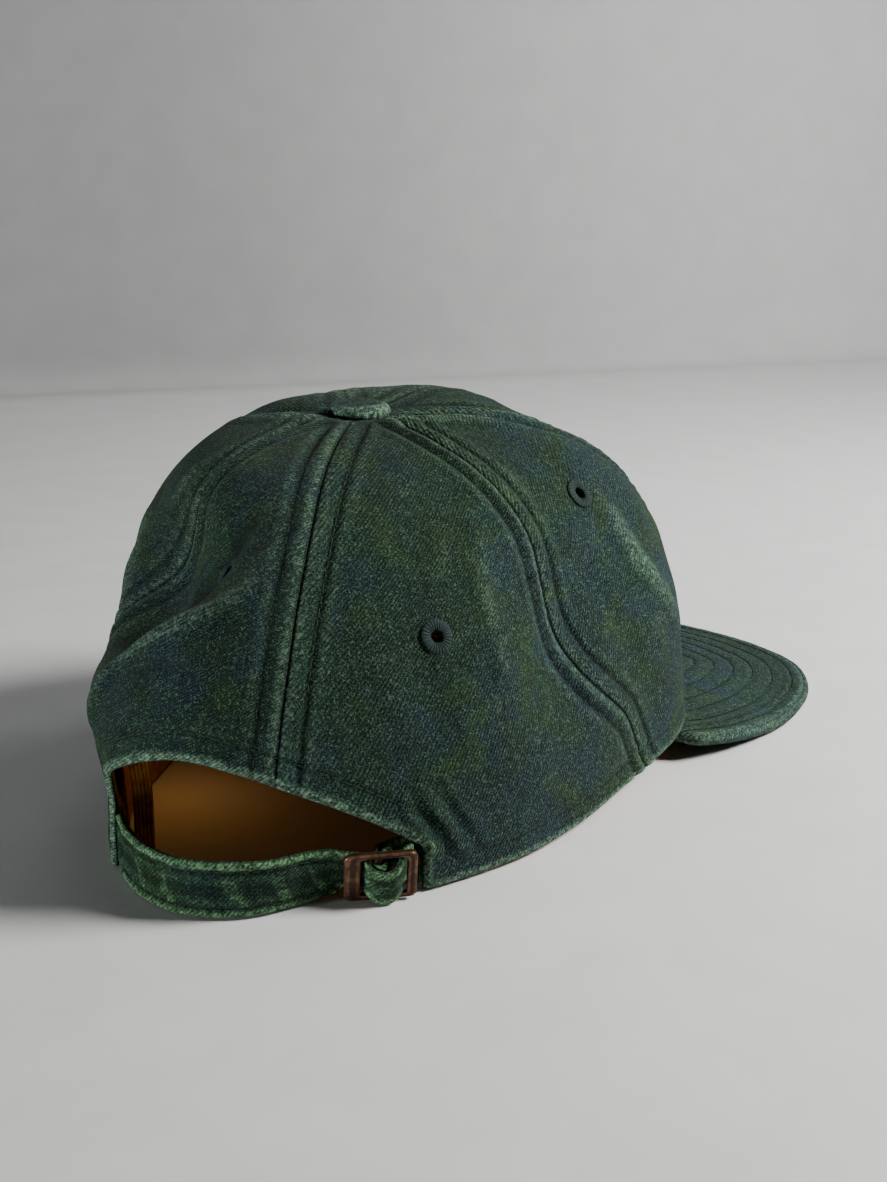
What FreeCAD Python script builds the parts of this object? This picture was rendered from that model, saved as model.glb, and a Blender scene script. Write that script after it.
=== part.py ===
import FreeCAD, Part
import math
import os

# Baseball cap in millimetres.  +Z is up and Z = 0 is the table it rests on.
# The brim points to -Y and the wearer's right is -X.  The origin is the middle
# of the head opening.  An azimuth is counted in degrees from the back (+Y)
# toward the wearer's right (-X), so 90 is the right side and 180 the front.

os.makedirs("parts", exist_ok=True)
Vector = FreeCAD.Vector

# ---------------------------------------------------------------- crown form
CROWN_TOP = 103.0
BUTTON_X = 3.0
BUTTON_Y = 2.0
CLOTH = 1.2
SEAM_GAP = 0.1
PANEL_TOP = 0.05

# (azimuth, plan radius of the hem)
HEM_RADIUS = [(0, 94), (16, 95.5), (33, 84), (50, 75), (66, 70), (90, 67.5), (112, 72.5), (133, 88),
              (150, 95), (180, 97), (210, 95), (228, 88), (248, 75), (270, 67), (290, 64), (310, 66),
              (330, 75), (345, 83.5)]
# (azimuth, height of the hem above the table)
HEM_HEIGHT = [(0, 0.3), (60, 0.4), (85, 1.5), (110, 4.6), (133, 9.2), (156, 12.3), (180, 13.4),
              (204, 12.3), (227, 9.2), (250, 4.6), (275, 1.5), (300, 0.4)]
# (azimuth, squareness of the crown's profile)
FULLNESS = [(0, 2.6), (45, 2.6), (90, 2.6), (135, 2.5), (180, 2.45), (225, 2.5), (270, 3.1), (315, 3.0)]
# soft folds: (centre, radii, push at the centre)
FOLDS = [((-22, -48, 92), (30, 26, 30), (-3, -3, 1.5)),
         ((4, -38, 104), (14, 20, 14), (0, 0, 4)),
         ((40, -15, 98), (20, 30, 16), (1, 0, 2)),
         ((62, 12, 70), (22, 34, 24), (8, 3, 0)),
         ((22, 62, 66), (14, 18, 12), (-6, -17, -5)),
         ((3, 71, 79), (13, 16, 8), (-2, -7, -3)),
         ((24, 74, 42), (18, 16, 11), (0, 7, 2)),
         ((-64, 2, 50), (9, 11, 16), (4, -1, 0))]
# each seam's azimuth from the button (0) to the hem (1)
SEAMS = {
    "back": [(0, 26), (0.3, 26), (0.6, 25), (1, 22)],
    "back_right": [(0, 66), (0.3, 79), (0.5, 87), (0.66, 88), (0.76, 95), (0.87, 109), (1, 117)],
    "front_right": [(0, 126), (0.45, 146), (1, 150)],
    "front": [(0, 183), (0.3, 181), (1, 180)],
    "front_left": [(0, 240), (0.45, 217), (1, 211)],
    "back_left": [(0, 340), (0.25, 350), (0.45, 346), (0.58, 334), (0.75, 318), (1, 300)],
}


def hermite(left, start, end, right, x):
    """Smooth value at x between two of four neighbouring (x, value) pairs."""
    slope_start = (end[1] - left[1]) / (end[0] - left[0])
    slope_end = (right[1] - start[1]) / (right[0] - start[0])
    span = end[0] - start[0]
    s = (x - start[0]) / span
    value = start[1] * (2 * s ** 3 - 3 * s ** 2 + 1) + end[1] * (3 * s ** 2 - 2 * s ** 3)
    return value + span * (slope_start * (s ** 3 - 2 * s ** 2 + s) + slope_end * (s ** 3 - s ** 2))


def around(table, azimuth):
    """Value of a table that closes on itself after 360 degrees."""
    azimuth = azimuth % 360
    count = len(table)
    index = max(k for k in range(count) if table[k][0] <= azimuth)

    def entry(k):
        turns, place = divmod(k, count)
        return (table[place][0] + 360 * turns, table[place][1])

    return hermite(entry(index - 1), entry(index), entry(index + 1), entry(index + 2), azimuth)


def along(table, x):
    """Value of a table with two ends, held straight at both."""
    last = len(table) - 2
    index = 0
    while index < last and x > table[index + 1][0]:
        index += 1
    start = table[index]
    end = table[index + 1]
    left = table[index - 1] if index > 0 else (2 * start[0] - end[0], 2 * start[1] - end[1])
    right = table[index + 2] if index < last else (2 * end[0] - start[0], 2 * end[1] - start[1])
    return hermite(left, start, end, right, x)


def outer_point(azimuth, t):
    """Point of the crown's outer face; t runs from the button (0) to the hem (1)."""
    power = around(FULLNESS, azimuth)
    radius = around(HEM_RADIUS, azimuth)
    base = around(HEM_HEIGHT, azimuth)
    angle = t * math.pi / 2
    run = math.sin(angle)
    rise = max(0.0, math.cos(angle))
    reach = (run ** power + rise ** power) ** (-1 / power)
    out = run * reach
    up = rise * reach
    a = math.radians(azimuth)
    x = BUTTON_X * (1 - out) - radius * out * math.sin(a)
    y = BUTTON_Y * (1 - out) + radius * out * math.cos(a)
    z = base + (CROWN_TOP - base) * up
    for centre, radii, push in FOLDS:
        distance = sum(((p - c) / r) ** 2 for p, c, r in zip((x, y, z), centre, radii))
        weight = math.exp(-0.5 * distance) * min(1.0, (z - base) / 20.0)
        x += push[0] * weight
        y += push[1] * weight
        z += push[2] * weight
    return Vector(x, y, z)


def crown_normal(azimuth, t):
    """Outward unit normal of the crown."""
    step = 0.004
    low = outer_point(azimuth, max(0.0, t - step))
    high = outer_point(azimuth, min(1.0, t + step))
    before = outer_point(azimuth - 0.5, t)
    after = outer_point(azimuth + 0.5, t)
    normal = (high - low).cross(after - before)
    normal.normalize()
    outward = Vector(low.x - BUTTON_X, low.y - BUTTON_Y, 40)
    if normal.dot(outward) < 0:
        normal = normal * -1
    return normal


def crown_point(azimuth, t, depth=0.0):
    """Point that lies a given depth inside the crown's outer face."""
    return outer_point(azimuth, t) - crown_normal(azimuth, t) * depth


def place_of_height(azimuth, height):
    """t at which the crown has the given height above the table."""
    low = 0.3
    high = 1.0
    for _ in range(24):
        middle = (low + high) / 2
        if outer_point(azimuth, middle).z > height:
            low = middle
        else:
            high = middle
    return (low + high) / 2


def plan_radius(azimuth, t):
    point = outer_point(azimuth, t)
    return math.hypot(point.x - BUTTON_X, point.y - BUTTON_Y)


# ------------------------------------------------------------- solid makers
def solid_between(front, back):
    """Solid between two grids of points that match row by row."""
    surfaces = []
    for grid in (front, back):
        surface = Part.BSplineSurface()
        surface.interpolate(grid)
        surfaces.append(surface)
    faces = [surface.toShape() for surface in surfaces]
    u_start, u_end, v_start, v_end = surfaces[0].bounds()
    for value in (u_start, u_end):
        edges = [surface.uIso(value).toShape() for surface in surfaces]
        faces.append(Part.makeRuledSurface(edges[0], edges[1], 1))
    for value in (v_start, v_end):
        edges = [surface.vIso(value).toShape() for surface in surfaces]
        faces.append(Part.makeRuledSurface(edges[0], edges[1], 1))
    sewn = Part.makeCompound(faces)
    sewn.sewShape(0.01)
    solid = Part.makeSolid(Part.Shell(sewn.Faces))
    if solid.Volume < 0:
        solid.reverse()
    return solid


def spread(start, end, count):
    return [start + (end - start) * k / (count - 1) for k in range(count)]


def save(shape, name):
    if not shape.isValid():
        shape.fix(0.01, 0.01, 0.01)
    shape.exportStep("parts/" + name + ".step")
    box = shape.BoundBox
    reach = (box.XMin, box.XMax, box.YMin, box.YMax, box.ZMin, box.ZMax)
    print(name, "valid", shape.isValid(), "volume %.0f" % shape.Volume,
          "x %.1f..%.1f y %.1f..%.1f z %.1f..%.1f" % reach)


def tube(centre, direction, outer_radius, inner_radius, start, end):
    """Ring along a direction, from one distance to another."""
    base = centre + direction * start
    body = Part.makeCylinder(outer_radius, end - start, base, direction)
    if inner_radius > 0:
        body = body.cut(Part.makeCylinder(inner_radius, end - start + 2, base - direction, direction))
    return body


# ------------------------------------------------------------ back opening
ARCH_LEFT = -9.0
ARCH_RIGHT = 47.0
# (azimuth, height of the arch edge above the table)
ARCH_HEIGHT = [(-9, 25), (-7, 27.2), (-4, 29.8), (1.5, 33.8), (4.6, 35.6), (9, 37.3), (13.4, 37.3),
               (18, 35.6), (22, 33.3), (27, 29.4), (31, 26.1), (37.4, 20.7), (43.3, 15.3), (47, 11.5)]


def arch_height(azimuth):
    return along(ARCH_HEIGHT, azimuth)


def arch_cutter():
    """Prism that cuts the back opening out of the two back panels."""
    left = outer_point(ARCH_LEFT, 1.0)
    right = outer_point(ARCH_RIGHT, 1.0)
    side = Vector(right.x - left.x, right.y - left.y, 0)
    side.normalize()
    through = Vector(-side.y, side.x, 0)
    crest = []
    for azimuth in spread(ARCH_LEFT, ARCH_RIGHT, 29):
        height = arch_height(azimuth)
        point = crown_point(azimuth, place_of_height(azimuth, height))
        crest.append(Vector(left.x, left.y, height) + side * (point - left).dot(side))
    curve = Part.BSplineCurve()
    curve.interpolate(crest)
    low_left = Vector(crest[0].x, crest[0].y, -5)
    low_right = Vector(crest[-1].x, crest[-1].y, -5)
    wire = Part.Wire([curve.toShape(), Part.makeLine(crest[-1], low_right),
                      Part.makeLine(low_right, low_left), Part.makeLine(low_left, crest[0])])
    reach = 45
    face = Part.Face(wire)
    face.translate(through * -reach)
    return face.extrude(through * (2 * reach))


# ------------------------------------------------------------------ panels
# (panel, seam on its low-azimuth side, seam on its high-azimuth side, eyelet azimuth, eyelet place)
PANELS = [("back_right", "back", "back_right", 51.8, 0.63),
          ("side_right", "back_right", "front_right", 115.7, 0.478),
          ("front_right", "front_right", "front", 163, 0.5),
          ("front_left", "front", "front_left", 199, 0.5),
          ("side_left", "front_left", "back_left", 270, 0.40),
          ("back_left", "back_left", "back", 4, 0.50)]
EYELET_HOLE_RADIUS = 4.5
EYELET_OUTER_RADIUS = 4.35
EYELET_INNER_RADIUS = 1.5
PANEL_COLUMNS = 17
PANEL_ROWS = 19


def seam_azimuths(low_seam, high_seam, t):
    low = along(SEAMS[low_seam], t)
    high = along(SEAMS[high_seam], t)
    while high < low:
        high += 360
    return low, high


def panel_solid(low_seam, high_seam):
    grids = []
    for depth in (0.0, CLOTH):
        grid = []
        for t in spread(PANEL_TOP, 1.0, PANEL_ROWS):
            low, high = seam_azimuths(low_seam, high_seam, t)
            edge = math.degrees(SEAM_GAP / plan_radius(low, t))
            grid.append([crown_point(a, t, depth) for a in spread(low + edge, high - edge, PANEL_COLUMNS)])
        grids.append(grid)
    return solid_between(grids[0], grids[1])


cutter = arch_cutter()
for name, low_seam, high_seam, eyelet_azimuth, eyelet_place in PANELS:
    panel = panel_solid(low_seam, high_seam)
    if name.startswith("back"):
        panel = panel.cut(cutter)
    centre = crown_point(eyelet_azimuth, eyelet_place)
    normal = crown_normal(eyelet_azimuth, eyelet_place)
    panel = panel.cut(tube(centre, normal, EYELET_HOLE_RADIUS, 0, -8, 6))
    save(panel, "panel_" + name)
    save(tube(centre, normal, EYELET_OUTER_RADIUS, EYELET_INNER_RADIUS, -CLOTH - 0.3, 0.5), "eyelet_" + name)

# -------------------------------------------------------------- seam tapes
TAPE_HALF_WIDTH = 6.0
TAPE_DEPTH = 1.7
TAPE_THICKNESS = 0.6
TAPE_START = 0.30
TAPE_END_ABOVE_HEM = 3.0


def ribbon_on_crown(rows, half_width, depth, thickness):
    """Strip that follows the crown; rows are (azimuth, t) pairs along its middle."""
    grids = []
    for level in (depth, depth + thickness):
        grid = []
        for azimuth, t in rows:
            swing = math.degrees(half_width / plan_radius(azimuth, t))
            grid.append([crown_point(azimuth + swing * side, t, level) for side in (-1, -0.5, 0, 0.5, 1)])
        grids.append(grid)
    return solid_between(grids[0], grids[1])


for name in SEAMS:
    foot_azimuth = along(SEAMS[name], 1.0)
    if name == "back":
        foot = place_of_height(foot_azimuth, arch_height(foot_azimuth) + 12)
    else:
        foot = place_of_height(foot_azimuth, around(HEM_HEIGHT, foot_azimuth) + TAPE_END_ABOVE_HEM)
    rows = [(along(SEAMS[name], t), t) for t in spread(TAPE_START, foot, 17)]
    save(ribbon_on_crown(rows, TAPE_HALF_WIDTH, TAPE_DEPTH, TAPE_THICKNESS), "seam_tape_" + name)

# --------------------------------------------- tape round the back opening
BINDING_WIDTH = 8.0
grids = []
for depth in (TAPE_DEPTH, TAPE_DEPTH + TAPE_THICKNESS):
    grid = []
    for azimuth in spread(ARCH_LEFT + 2, ARCH_RIGHT - 2, 27):
        edge = arch_height(azimuth) + 0.5
        grid.append([crown_point(azimuth, place_of_height(azimuth, edge + BINDING_WIDTH * k / 3), depth)
                     for k in range(4)])
    grids.append(grid)
save(solid_between(grids[0], grids[1]), "opening_binding")

# --------------------------------------------------------------- sweatband
BAND_DEPTH = 3.8
BAND_THICKNESS = 1.4
BAND_HEIGHT = 30.0
BAND_FOOT = 1.0
BAND_START = 54.0
BAND_END = 337.0
grids = []
for depth in (BAND_DEPTH, BAND_DEPTH + BAND_THICKNESS):
    grid = []
    for azimuth in spread(BAND_START, BAND_END, 61):
        foot = around(HEM_HEIGHT, azimuth) + BAND_FOOT
        grid.append([crown_point(azimuth, place_of_height(azimuth, foot + BAND_HEIGHT * k / 4), depth)
                     for k in range(5)])
    grids.append(grid)
save(solid_between(grids[0], grids[1]), "sweatband")

# the two bound ends of the sweatband, which curl inward beside the opening
BAND_END_WIDTH = 8.0
BAND_TAPE = 1.0
for name, azimuth, turn in (("left", -12.0, 1), ("right", 50.5, -1)):
    grids = []
    for level in (0.0, BAND_TAPE):
        grid = []
        for k in range(5):
            share = k / 4
            inner = 5.6 + BAND_END_WIDTH * share
            row = []
            for height in (2.0, 9.0, 16.0, 23.0, 29.0):
                point = crown_point(azimuth + turn * 3 * share, place_of_height(azimuth, height), inner)
                tangent = crown_normal(azimuth, place_of_height(azimuth, height)).cross(Vector(0, 0, 1))
                tangent.normalize()
                row.append(point + tangent * level)
            grid.append(row)
        grids.append(grid)
    save(solid_between(grids[0], grids[1]), "band_end_" + name)

# ------------------------------------------------------------------ button
TOP_Z = CROWN_TOP + 1.8
button_middle = Vector(BUTTON_X, BUTTON_Y, 0)


def turned(profile):
    """Solid turned about the button's upright axis from (radius, height) points."""
    points = [Vector(BUTTON_X + r, BUTTON_Y, z) for r, z in profile]
    face = Part.Face(Part.makePolygon(points + [points[0]]))
    return face.revolve(button_middle, Vector(0, 0, 1), 360)


BUTTON_RADIUS = 8.3
DOME_RISE = 2.0
RIM_RISE = 1.3
rim = [(BUTTON_RADIUS - 0.7, TOP_Z), (BUTTON_RADIUS, TOP_Z + 0.7), (BUTTON_RADIUS, TOP_Z + RIM_RISE)]
dome = [(BUTTON_RADIUS * math.cos(a), TOP_Z + RIM_RISE + DOME_RISE * math.sin(a))
        for a in [math.radians(d) for d in (15, 30, 45, 60, 75)]]
top = TOP_Z + RIM_RISE + DOME_RISE
save(turned([(7.3, TOP_Z)] + rim + dome + [(0, top), (0, TOP_Z + 2.1), (7.3, TOP_Z + 2.1)]),
     "button_cover")
save(turned([(0, 99.2), (1.5, 99.2), (1.5, TOP_Z), (7.1, TOP_Z), (7.1, TOP_Z + 1.9), (0, TOP_Z + 1.9)]),
     "button_shell")
save(turned([(1.7, 99.7), (7.5, 99.7), (7.5, 100.7), (1.7, 100.7)]), "button_washer")

# ------------------------------------------------------------------- visor
VISOR_LAYERS = [("visor_top", 0.0, 0.7), ("visor_board", 0.8, 2.8), ("visor_under", 2.9, 3.6)]
VISOR_MIDDLE_TOP = 13.2
VISOR_FRONT_DIP = 7.0
# outer edge from the wearer's right corner to the front middle, mirrored for the left
VISOR_EDGE = [(-69.5, -60), (-74.5, -73), (-77, -90), (-77, -107), (-73.5, -126), (-66, -140),
              (-56, -149), (-37, -156.5), (-19, -159.5), (0, -160.3)]
VISOR_START = 132.5
VISOR_TUCK = 1.6


def visor_top(x, y):
    """Height of the visor's top face: a shallow arch across, dipping toward the front."""
    ease = min(1.0, max(0.0, (-58 - y) / 40))
    dip = VISOR_FRONT_DIP * min(1.0, max(0.0, (-95 - y) / 65))
    drop = 5.8 + 3.5 * ease
    return VISOR_MIDDLE_TOP - dip - (drop - dip) * (abs(x) / 77) ** 2


def visor_rows():
    """Matching points of the inner and outer edges, from corner to corner."""
    edge = VISOR_EDGE + [(-x, y) for x, y in reversed(VISOR_EDGE[:-1])]
    count = len(edge)
    inner = []
    for k in range(count):
        azimuth = VISOR_START + (360 - 2 * VISOR_START) * k / (count - 1)
        point = crown_point(azimuth, 1.0)
        size = math.hypot(point.x, point.y)
        inner.append((point.x * (size - VISOR_TUCK) / size, point.y * (size - VISOR_TUCK) / size))
    return inner, edge


inner_edge, outer_edge = visor_rows()
for name, top, bottom in VISOR_LAYERS:
    shrink = 0.02 if name == "visor_board" else 0.0
    grids = []
    for level in (top, bottom):
        grid = []
        for (xi, yi), (xo, yo) in zip(inner_edge, outer_edge):
            row = []
            for k in range(7):
                share = shrink + (1 - 2 * shrink) * k / 6
                x = xi + (xo - xi) * share
                y = yi + (yo - yi) * share
                row.append(Vector(x, y, visor_top(x, y) - level))
            grid.append(row)
        grids.append(grid)
    save(solid_between(grids[0], grids[1]), name)

# --------------------------------------------------- buckle and its frame
BUCKLE_CENTRE = Vector(-50.7, 63.1, 7.4)
BUCKLE_LEAN = math.radians(15)
BUCKLE_RUN = Vector(-0.692, -0.722, 0)
BUCKLE_RUN.normalize()
BUCKLE_OUT_FLAT = Vector(BUCKLE_RUN.y, -BUCKLE_RUN.x, 0)
BUCKLE_UP = Vector(0, 0, math.cos(BUCKLE_LEAN)) + BUCKLE_OUT_FLAT * math.sin(BUCKLE_LEAN)
BUCKLE_OUT = BUCKLE_OUT_FLAT * math.cos(BUCKLE_LEAN) - Vector(0, 0, math.sin(BUCKLE_LEAN))
BUCKLE_HEIGHT = 13.5
BUCKLE_THICKNESS = 1.6
RAIL = 1.4
LEFT_BAR = (-8.4, -4.4)
RIGHT_BAR = (6.6, 9.0)
CENTRE_BAR_RADIUS = 0.8
STRAP_SQUEEZED = 10.0
THROUGH_THICKNESS = 1.3


def on_buckle(run, out, up=0.0):
    """Point given along the strap, outward and up in the buckle's own frame."""
    return BUCKLE_CENTRE + BUCKLE_RUN * run + BUCKLE_OUT * out + BUCKLE_UP * up


def prism(outline, low, high):
    """Outline in the (along, outward) plane carried from one height to another."""
    points = [on_buckle(run, out, low) for run, out in outline]
    face = Part.Face(Part.makePolygon(points + [points[0]]))
    return face.extrude(BUCKLE_UP * (high - low))


def plate(run_start, run_end, up_start, up_end, thickness):
    half = thickness / 2
    return prism([(run_start, -half), (run_end, -half), (run_end, half), (run_start, half)], up_start, up_end)


half_height = BUCKLE_HEIGHT / 2
frame = plate(LEFT_BAR[0], RIGHT_BAR[1], -half_height, half_height, BUCKLE_THICKNESS)
window = plate(LEFT_BAR[1], RIGHT_BAR[0], -half_height + RAIL, half_height - RAIL, BUCKLE_THICKNESS + 2)
corners = [edge for edge in frame.Edges
           if abs(edge.Length - BUCKLE_THICKNESS) < 1e-6]
frame = frame.makeFillet(1.5, corners)
frame = frame.cut(window)
bar_foot = on_buckle(0, 0, -half_height + RAIL - 0.4)
bar = Part.makeCylinder(CENTRE_BAR_RADIUS, BUCKLE_HEIGHT - 2 * RAIL + 0.8, bar_foot, BUCKLE_UP)
save(frame.fuse(bar).removeSplitter(), "buckle")


def thick_path(points, thickness):
    """Outline of a strip of even thickness along a path of points."""
    sides = ([], [])
    for k in range(len(points)):
        before = points[max(0, k - 1)]
        after = points[min(len(points) - 1, k + 1)]
        dx = after[0] - before[0]
        dy = after[1] - before[1]
        size = math.hypot(dx, dy)
        for side, sign in zip(sides, (0.5, -0.5)):
            step = sign * thickness / size
            side.append((points[k][0] - step * dy, points[k][1] + step * dx))
    return sides[0] + list(reversed(sides[1]))


# the strap between the bars: under the broad bar, over the middle bar, under the far bar
UNDER_LEVEL = -2.75
OVER_RADIUS = 2.85
path = [(-9.3, UNDER_LEVEL), (-6.0, UNDER_LEVEL), (-4.6, UNDER_LEVEL + 0.1), (-3.6, UNDER_LEVEL + 0.6),
        (-3.05, UNDER_LEVEL + 1.3)]
path += [(-OVER_RADIUS * math.cos(a), OVER_RADIUS * math.sin(a))
         for a in [math.radians(d) for d in range(0, 181, 15)]]
path += [(3.1, -1.2), (3.9, -2.1), (5.0, -2.9), (8.3, -4.9)]
save(prism(thick_path(path, THROUGH_THICKNESS), -STRAP_SQUEEZED / 2, STRAP_SQUEEZED / 2), "strap_in_buckle")

# the short tab that is sewn in at the right and loops the middle bar
TAB_INNER = 1.15
TAB_OUTER = 1.75
TAB_THICKNESS = 1.2
tab_half = STRAP_SQUEEZED / 2 - 0.3
loop = Part.makeCylinder(TAB_OUTER, 2 * tab_half, on_buckle(0, 0, -tab_half), BUCKLE_UP)
stem_path = [(0, -1.5), (0, -4.3), (0.6, -5.2), (1.8, -5.8), (6, -7.4), (11.2, -9.6)]
stem = prism(thick_path(stem_path, TAB_THICKNESS), -tab_half, tab_half)
eye = Part.makeCylinder(TAB_INNER, 2 * tab_half + 4, on_buckle(0, 0, -tab_half - 2), BUCKLE_UP)
save(loop.fuse(stem).cut(eye).removeSplitter(), "buckle_tab")

# ------------------------------------------------------------------- strap
STRAP_HEIGHT = 14.6
STRAP_THICKNESS = 2.0
strap_end = on_buckle(-9.6, UNDER_LEVEL)
strap_before = on_buckle(-14.5, UNDER_LEVEL + 0.3)
# (middle line in plan, share of the buckle's lean)
STRAP_PATH = [((22.7, 77.0), 0), ((18.4, 80.2), 0), ((13.0, 84.4), 0), ((6, 89.4), 0), ((-4, 93.6), 0),
              ((-14, 94.9), 0), ((-22, 93), 0.1), ((-29.5, 88.0), 0.3), ((-34.5, 81.6), 0.6),
              ((strap_before.x, strap_before.y), 0.9), ((strap_end.x, strap_end.y), 1)]


def strap_solid():
    middles = [Vector(p[0], p[1], 0) for p, _ in STRAP_PATH]
    curve = Part.BSplineCurve()
    curve.interpolate(middles)
    first, last = curve.FirstParameter, curve.LastParameter
    grids = ([], [])
    count = 33
    for k in range(count):
        share = k / (count - 1)
        value = first + (last - first) * share
        point = curve.value(value)
        tangent = curve.tangent(value)[0]
        place = share * (len(STRAP_PATH) - 1)
        low = min(int(place), len(STRAP_PATH) - 2)
        lean = STRAP_PATH[low][1] + (STRAP_PATH[low + 1][1] - STRAP_PATH[low][1]) * (place - low)
        angle = BUCKLE_LEAN * lean
        flat = Vector(tangent.y, -tangent.x, 0)
        up = Vector(0, 0, math.cos(angle)) + flat * math.sin(angle)
        out = flat * math.cos(angle) - Vector(0, 0, math.sin(angle))
        half = STRAP_HEIGHT / 2
        centre = Vector(point.x, point.y, half * math.cos(angle) + STRAP_THICKNESS / 2 * math.sin(angle))
        for grid, side in zip(grids, (0.5, -0.5)):
            middle = centre + out * (STRAP_THICKNESS * side)
            grid.append([middle + up * (half * w) for w in (-1, -0.5, 0, 0.5, 1)])
    return solid_between(grids[0], grids[1])


save(strap_solid(), "strap")

# --------------------------------------------------------------- strap tail
# The tail lies in the pocket between the right back panel and the sweatband.
# The pocket is close to a circular arc, so the tail is an arc about its centre.
TAIL_DEPTH = 2.5
TAIL_THICKNESS = 1.3
TAIL_HEIGHT = 13.0
TAIL_FOOT = 1.0
TAIL_LENGTH = 24.0


def circle_through(a, b, c):
    """Centre and radius of the circle through three points in plan."""
    d = 2 * (a.x * (b.y - c.y) + b.x * (c.y - a.y) + c.x * (a.y - b.y))
    squares = [p.x ** 2 + p.y ** 2 for p in (a, b, c)]
    x = (squares[0] * (b.y - c.y) + squares[1] * (c.y - a.y) + squares[2] * (a.y - b.y)) / d
    y = (squares[0] * (c.x - b.x) + squares[1] * (a.x - c.x) + squares[2] * (b.x - a.x)) / d
    return Vector(x, y, 0), math.hypot(a.x - x, a.y - y)


pocket = [crown_point(a, place_of_height(a, 7.0), TAIL_DEPTH) for a in (49, 64, 80)]
tail_centre, tail_radius = circle_through(pocket[0], pocket[1], pocket[2])
start_angle = math.degrees(math.atan2(pocket[0].y - tail_centre.y, pocket[0].x - tail_centre.x))
lead = math.degrees(3.0 / tail_radius)
sweep = math.degrees(TAIL_LENGTH / tail_radius)
ring = Part.makeCylinder(tail_radius + TAIL_THICKNESS / 2, TAIL_HEIGHT,
                         Vector(tail_centre.x, tail_centre.y, TAIL_FOOT), Vector(0, 0, 1), sweep)
hole = Part.makeCylinder(tail_radius - TAIL_THICKNESS / 2, TAIL_HEIGHT,
                         Vector(tail_centre.x, tail_centre.y, TAIL_FOOT), Vector(0, 0, 1), sweep)
tail = ring.cut(hole)
tail.rotate(tail_centre, Vector(0, 0, 1), start_angle - lead)
save(tail, "strap_tail")
print("tail axis %.3f %.3f" % (tail_centre.x, tail_centre.y))
print("tail radius %.3f start angle %.2f" % (tail_radius, start_angle))
print("buckle axis", BUCKLE_UP, "at", BUCKLE_CENTRE)
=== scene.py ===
import math

import bmesh
import bpy
import numpy as np
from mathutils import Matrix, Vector, noise


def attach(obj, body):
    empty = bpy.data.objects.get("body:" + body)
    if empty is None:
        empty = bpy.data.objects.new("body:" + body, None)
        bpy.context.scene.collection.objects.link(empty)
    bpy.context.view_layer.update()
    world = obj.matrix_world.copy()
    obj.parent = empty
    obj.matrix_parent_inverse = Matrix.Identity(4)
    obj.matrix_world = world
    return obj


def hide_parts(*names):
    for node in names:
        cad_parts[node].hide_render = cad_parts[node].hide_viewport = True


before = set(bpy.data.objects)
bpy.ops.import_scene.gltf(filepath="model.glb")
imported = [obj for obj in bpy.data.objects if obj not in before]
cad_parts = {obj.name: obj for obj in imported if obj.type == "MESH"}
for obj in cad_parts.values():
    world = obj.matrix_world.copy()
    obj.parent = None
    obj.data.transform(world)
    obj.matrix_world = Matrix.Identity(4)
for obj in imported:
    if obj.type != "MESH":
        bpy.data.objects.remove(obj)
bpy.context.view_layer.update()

# Baseball cap.  Every length in this script is in millimetres until a mesh is
# made, where it is scaled to metres.  +Z is up, the brim points to -Y, and the
# wearer's right is -X.  An azimuth is counted in degrees from the back (+Y)
# toward the wearer's right (-X).
MM = 0.001

# ------------------------------------------------------------ crown form
CROWN_TOP = 103.0
BUTTON_X = 3.0
BUTTON_Y = 2.0
# (azimuth, value) tables of the hem's radius and height and of how square the crown's profile is
HEM_RADIUS = [(0, 94), (16, 95.5), (33, 84), (50, 75), (66, 70), (90, 67.5), (112, 72.5), (133, 88),
              (150, 95), (180, 97), (210, 95), (228, 88), (248, 75), (270, 67), (290, 64), (310, 66),
              (330, 75), (345, 83.5)]
HEM_HEIGHT = [(0, 0.3), (60, 0.4), (85, 1.5), (110, 4.6), (133, 9.2), (156, 12.3), (180, 13.4),
              (204, 12.3), (227, 9.2), (250, 4.6), (275, 1.5), (300, 0.4)]
FULLNESS = [(0, 2.6), (45, 2.6), (90, 2.6), (135, 2.5), (180, 2.45), (225, 2.5), (270, 3.1), (315, 3.0)]
# broad folds as (centre, radii, push), and the height above the hem at which they reach full depth
FOLD_GROWTH = 20.0
FOLDS = [((-22, -48, 92), (30, 26, 30), (-3, -3, 1.5)),
         ((4, -38, 104), (14, 20, 14), (0, 0, 4)),
         ((40, -15, 98), (20, 30, 16), (1, 0, 2)),
         ((62, 12, 70), (22, 34, 24), (8, 3, 0)),
         ((22, 62, 66), (14, 18, 12), (-6, -17, -5)),
         ((3, 71, 79), (13, 16, 8), (-2, -7, -3)),
         ((24, 74, 42), (18, 16, 11), (0, 7, 2)),
         ((-64, 2, 50), (9, 11, 16), (4, -1, 0))]
# each seam as (t, azimuth), with t from the button (0) to the hem (1)
SEAMS = {
    "back": [(0, 26), (0.3, 26), (0.6, 25), (1, 22)],
    "back_right": [(0, 66), (0.3, 79), (0.5, 87), (0.66, 88), (0.76, 95), (0.87, 109), (1, 117)],
    "front_right": [(0, 126), (0.45, 146), (1, 150)],
    "front": [(0, 183), (0.3, 181), (1, 180)],
    "front_left": [(0, 240), (0.45, 217), (1, 211)],
    "back_left": [(0, 340), (0.25, 350), (0.45, 346), (0.58, 334), (0.75, 318), (1, 300)],
}
# each panel's name, its two seams, and the azimuth and t of its eyelet
PANELS = [("back_right", "back", "back_right", 51.8, 0.63),
          ("side_right", "back_right", "front_right", 115.7, 0.478),
          ("front_right", "front_right", "front", 163, 0.5),
          ("front_left", "front", "front_left", 199, 0.5),
          ("side_left", "front_left", "back_left", 270, 0.40),
          ("back_left", "back_left", "back", 4, 0.50)]
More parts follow.
